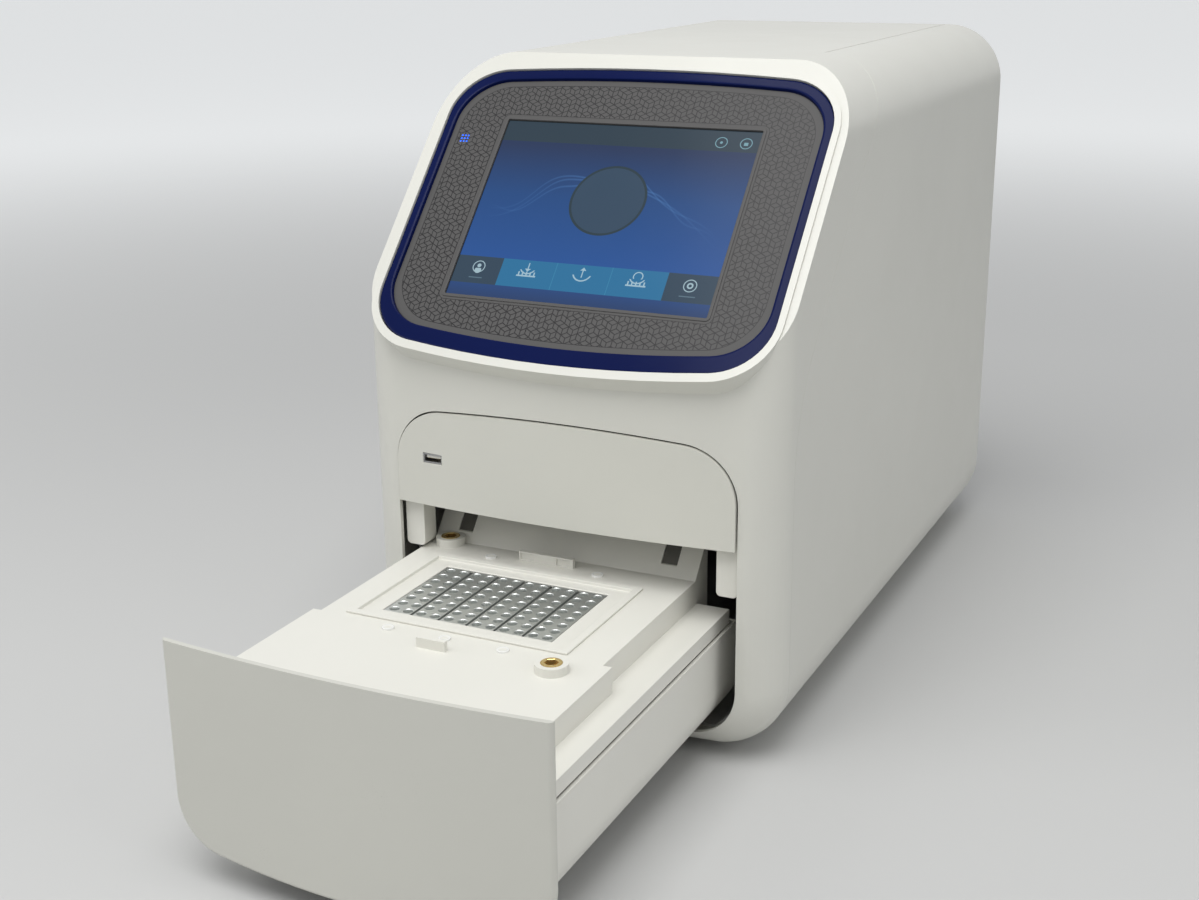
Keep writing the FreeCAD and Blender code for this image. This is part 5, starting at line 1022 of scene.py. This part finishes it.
# %% Front socket
SOCKET_LOW, SOCKET_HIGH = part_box("front_usb_socket")
socket_x = (SOCKET_LOW[0] + SOCKET_HIGH[0]) / 2
socket_z = (SOCKET_LOW[2] + SOCKET_HIGH[2]) / 2
LINER_SIZE, LINER_SHEET, LINER_DEPTH, LINER_IN = (0.0122, 0.0096, 0.0049), 0.0004, 0.0088, 0.0050
TONGUE_SIZE, TONGUE_LIFT, TONGUE_ROUND, TONGUE_IN = (0.0102, 0.0078, 0.0017), 0.0008, 0.0003, 0.0052
STRIP_SIZE, STRIP_COUNT, STRIP_PITCH, STRIP_ROUND = (0.0011, 0.0068, 0.0003), 4, 0.0023, 0.00008
STRIP_IN, STRIP_DROP = 0.0050, 0.00013
liner = block(LINER_SIZE, (socket_x, SOCKET_LOW[1] + LINER_IN, socket_z))
pick(liner, "FACE", lambda centre, normal: normal.y < -MOSTLY)
bpy.ops.mesh.inset(thickness=LINER_SHEET)
bpy.ops.mesh.extrude_region_move(TRANSFORM_OT_translate={"value": (0, LINER_DEPTH, 0)})
leave_edit()
round_off(liner, LINER_SHEET / 4)
settle(liner, "front_socket_liner", "housing", "liner")
tongue = block(TONGUE_SIZE, (socket_x, SOCKET_LOW[1] + TONGUE_IN, socket_z + TONGUE_LIFT))
round_off(tongue, TONGUE_ROUND)
settle(tongue, "front_socket_tongue", "housing", "deck")
strip_x = socket_x - (STRIP_COUNT - 1) / 2 * STRIP_PITCH
strip = block(STRIP_SIZE, (strip_x, SOCKET_LOW[1] + STRIP_IN, socket_z - STRIP_DROP))
round_off(strip, STRIP_ROUND)
settle(repeated(strip, STRIP_COUNT, (STRIP_PITCH, 0, 0)), "front_socket_contacts", "housing", "brass")

# %% [markdown]
# Five soft pads on the deck touch the plate's rim and hold it still. Each is a low disc of clear
# silicone with a shallow dish in its top, made from a short cylinder whose top is inset and set down.

# %% Deck pads
PAD, PAD_TOP, DECK_TOP, PAD_SUNK, PAD_ROUND = 0.0036, 0.1062, 0.105, 0.0004, 0.0003
DISH_RIM, DISH_SLOPE, DISH_DEPTH = 0.0010, 0.0006, 0.0003
LEFT_X, MIDDLE_X, RIGHT_X = -0.0525, -0.016, 0.0205
BEHIND_Y, BEFORE_Y = -0.131, -0.249
pads = []
for middle_x, middle_y in (
    (LEFT_X, BEHIND_Y), (RIGHT_X, BEHIND_Y), (LEFT_X, BEFORE_Y), (MIDDLE_X, BEFORE_Y), (RIGHT_X, BEFORE_Y),
):
    soft_disc = cylinder(40, PAD, PAD_TOP - DECK_TOP + PAD_SUNK)
    pick(soft_disc, "FACE", faces_up)
    bpy.ops.mesh.inset(thickness=DISH_RIM)
    bpy.ops.mesh.inset(thickness=DISH_SLOPE, depth=-DISH_DEPTH)
    leave_edit()
    soft_disc.location = (middle_x, middle_y, (PAD_TOP + DECK_TOP - PAD_SUNK) / 2)
    apply_place(soft_disc)
    round_off(soft_disc, PAD_ROUND, 3)
    pads.append(soft_disc)
settle(joined(pads), "deck_pads", "drawer", "gel")

# %% [markdown]
# Two smoked windows fill the openings in the sloping end of the deck, a little below its surface, so
# that the sensors behind them can look out without being seen. Each is a thin plate with a shallow
# raised border, laid on the slope.

# %% Smoked windows
SLOPE = math.radians(50)
OUT_OF_SLOPE = Vector((0, -math.sin(SLOPE), math.cos(SLOPE)))
WINDOW_SIZE, WINDOW_SUNK = (0.0104, 0.0149, 0.0009), 0.0013
WINDOW_X, WINDOW_Y, WINDOW_Z = (-0.08235, 0.05835), -0.10585, 0.1165
BORDER, BORDER_STEP, WINDOW_ROUND = 0.0008, 0.0003, 0.0001
windows = []
for window_x in WINDOW_X:
    window_plate = block(WINDOW_SIZE)
    pick(window_plate, "FACE", faces_up)
    bpy.ops.mesh.inset(thickness=BORDER, depth=-BORDER_STEP)
    leave_edit()
    round_off(window_plate, WINDOW_ROUND)
    sunk = Vector((window_x, WINDOW_Y, WINDOW_Z)) - WINDOW_SUNK * OUT_OF_SLOPE
    window_plate.matrix_world = Matrix.Translation(sunk) @ Matrix.Rotation(SLOPE, 4, "X")
    apply_place(window_plate)
    windows.append(window_plate)
settle(joined(windows), "deck_sensor_windows", "drawer", "smoked")

# %% [markdown]
# The network socket holds eight gilt wires that slope down towards its mouth, and each data socket
# has four flat contacts under its tongue. One wire and one strip are shaped from a primitive with
# rounded ends, and an array repeats them.

# %% Contacts in the rear sockets
NETWORK_X, DATA_X = 0.040, 0.012
WIRE, WIRE_LONG, WIRE_COUNT, WIRE_PITCH = 0.00023, 0.009, 8, 0.00127
WIRE_LEAN, WIRE_IN, WIRE_UP, WIRE_ROUND = math.radians(90 - 24), 0.0072, 0.0068, 0.0001
LEAF_SIZE, LEAF_COUNT, LEAF_PITCH = (0.0010, 0.0066, 0.0003), 4, 0.0021
LEAF_IN, LEAF_LEVELS = 0.0062, (0.0034, 0.0116)
sockets_low, sockets_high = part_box("rear_sockets")
wire = cylinder(16, WIRE, WIRE_LONG)
round_off(wire, WIRE_ROUND)
wire_x = NETWORK_X - (WIRE_COUNT - 1) / 2 * WIRE_PITCH
wire_place = Vector((wire_x, sockets_high[1] - WIRE_IN, sockets_low[2] + WIRE_UP))
wire.matrix_world = Matrix.Translation(wire_place) @ Matrix.Rotation(WIRE_LEAN, 4, "X")
apply_place(wire)
rows_of_contacts = [repeated(wire, WIRE_COUNT, (WIRE_PITCH, 0, 0))]
leaf_x = DATA_X - (LEAF_COUNT - 1) / 2 * LEAF_PITCH
for leaf_level in LEAF_LEVELS:
    leaf = block(LEAF_SIZE, (leaf_x, sockets_high[1] - LEAF_IN, sockets_low[2] + leaf_level))
    round_off(leaf, STRIP_ROUND)
    rows_of_contacts.append(repeated(leaf, LEAF_COUNT, (LEAF_PITCH, 0, 0)))
settle(joined(rows_of_contacts), "rear_socket_contacts", "housing", "brass")

# %% [markdown]
# The rear panel's screws are small pan heads with a cross recess. The head is a short cylinder with
# a domed rim. The recess is cut by a Boolean modifier with a cross of two thin boxes, which is
# applied and then deleted. The finished head is copied to each of the panel's six places.

# %% One screw head
HEAD, HEAD_TALL, DOME = 0.003, 0.002, 0.0009
CROSS_ARM, CROSS_TAPER = (0.0034, 0.0006, 0.0022), (0.45, 0.7, 0.45)
screw_low, screw_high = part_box("case_screws")
HEAD_BACK = screw_high[1]
head = cylinder(32, HEAD, HEAD_TALL, (0, 0, HEAD_TALL / 2))
pick(head, "EDGE", lambda a, b: min(a.z, b.z) > 0.95 * HEAD_TALL)
bpy.ops.mesh.bevel(offset=DOME, segments=4)
leave_edit()
for turn_angle in (0, math.pi / 2):
    arm = block(CROSS_ARM, (0, 0, HEAD_TALL), turn_angle)
    pick(arm, "FACE", lambda centre, normal: normal.z < -MOSTLY)
    bpy.ops.transform.resize(value=CROSS_TAPER)
    cut_away(head, arm)
print("screw head:", len(head.data.polygons), "faces")

# %% Six screws
upright = Matrix.Rotation(-math.pi / 2, 4, "X")
heads = []
for side_x in (screw_low[0] + HEAD, screw_high[0] - HEAD):
    for height_z in (screw_low[2] + HEAD, (screw_low[2] + screw_high[2]) / 2, screw_high[2] - HEAD):
        copy = bpy.data.objects.new("screw", head.data.copy())
        bpy.context.scene.collection.objects.link(copy)
        swing = Matrix.Rotation(40 * height_z + 9 * side_x, 4, "Z")
        copy.matrix_world = Matrix.Translation((side_x, HEAD_BACK - HEAD_TALL, height_z)) @ upright @ swing
        apply_place(copy)
        heads.append(copy)
bpy.data.objects.remove(head)
screw_set = settle(joined(heads), "case_screws_finished", "housing", "steel")
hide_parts("case_screws")

# %% [markdown]
# The nine status lights stand nearer to the display's left edge, and closer together, than the solids
# have them. A copy of the lights is laid flat in the display's own axes, drawn together and shifted.
# In a copy of the bezel the old openings lose their walls and are filled, and nine new ones are cut
# where the lights now stand. Both are then tilted back.

# %% Status lights nearer the edge
LIGHTS_SCALE = 0.72
LIGHTS_SHIFT = Vector((-0.0077, 0.0010, 0))
LIGHT_PITCH, LIGHT_WIDTH, LIGHT_ROUND = 0.0030 * LIGHTS_SCALE, 0.0016 * LIGHTS_SCALE, 0.0003
BEZEL_THICK, OLD_REACH = 0.0025, 0.006


def laid_flat(node_name):
    """A merged copy of a node, turned into the display's own axes."""
    piece = merged_copy(node_name, f"{node_name}_finished")
    piece.matrix_world = to_display
    apply_place(piece)
    return piece


def tilted_back(piece, node_name):
    piece.matrix_world = TILT
    apply_place(piece)
    stand_for(piece, node_name)


lights_piece = laid_flat("status_lights")
corners = [vertex.co.copy() for vertex in lights_piece.data.vertices]
lights_x, lights_y = [(min(c[i] for c in corners) + max(c[i] for c in corners)) / 2 for i in (0, 1)]
edit_all(lights_piece)
bpy.ops.transform.resize(value=(LIGHTS_SCALE, LIGHTS_SCALE, 1), center_override=(lights_x, lights_y, 0))
bpy.ops.transform.translate(value=LIGHTS_SHIFT)
leave_edit()
round_off(lights_piece, LIGHT_ROUND)

# %% Bezel opened where the lights stand
bezel_piece = laid_flat("display_bezel")


def old_light_wall(centre, normal):
    reach = max(abs(centre.x - lights_x), abs(centre.y - lights_y))
    return reach < OLD_REACH and abs(normal.z) < 0.5


pick(bezel_piece, "FACE", old_light_wall)
bpy.ops.mesh.delete(type="FACE")
bpy.ops.mesh.select_all(action="SELECT")
bpy.ops.mesh.quads_convert_to_tris()
bpy.ops.mesh.fill_holes(sides=4)
bpy.ops.mesh.select_all(action="SELECT")
bpy.ops.mesh.normals_make_consistent(inside=False)
leave_edit()
opening_rows = []
for row in (-1, 0, 1):
    row_start = Vector((lights_x - LIGHT_PITCH, lights_y + row * LIGHT_PITCH, BEZEL_FACE - BEZEL_THICK / 2))
    opening = block((LIGHT_WIDTH, LIGHT_WIDTH, 2 * BEZEL_THICK), row_start + LIGHTS_SHIFT)
    opening_rows.append(repeated(opening, 3, (LIGHT_PITCH, 0, 0)))
cut_away(bezel_piece, joined(opening_rows))
tilted_back(lights_piece, "status_lights")
tilted_back(bezel_piece, "display_bezel")

# %% [markdown]

# %% The json module
import json
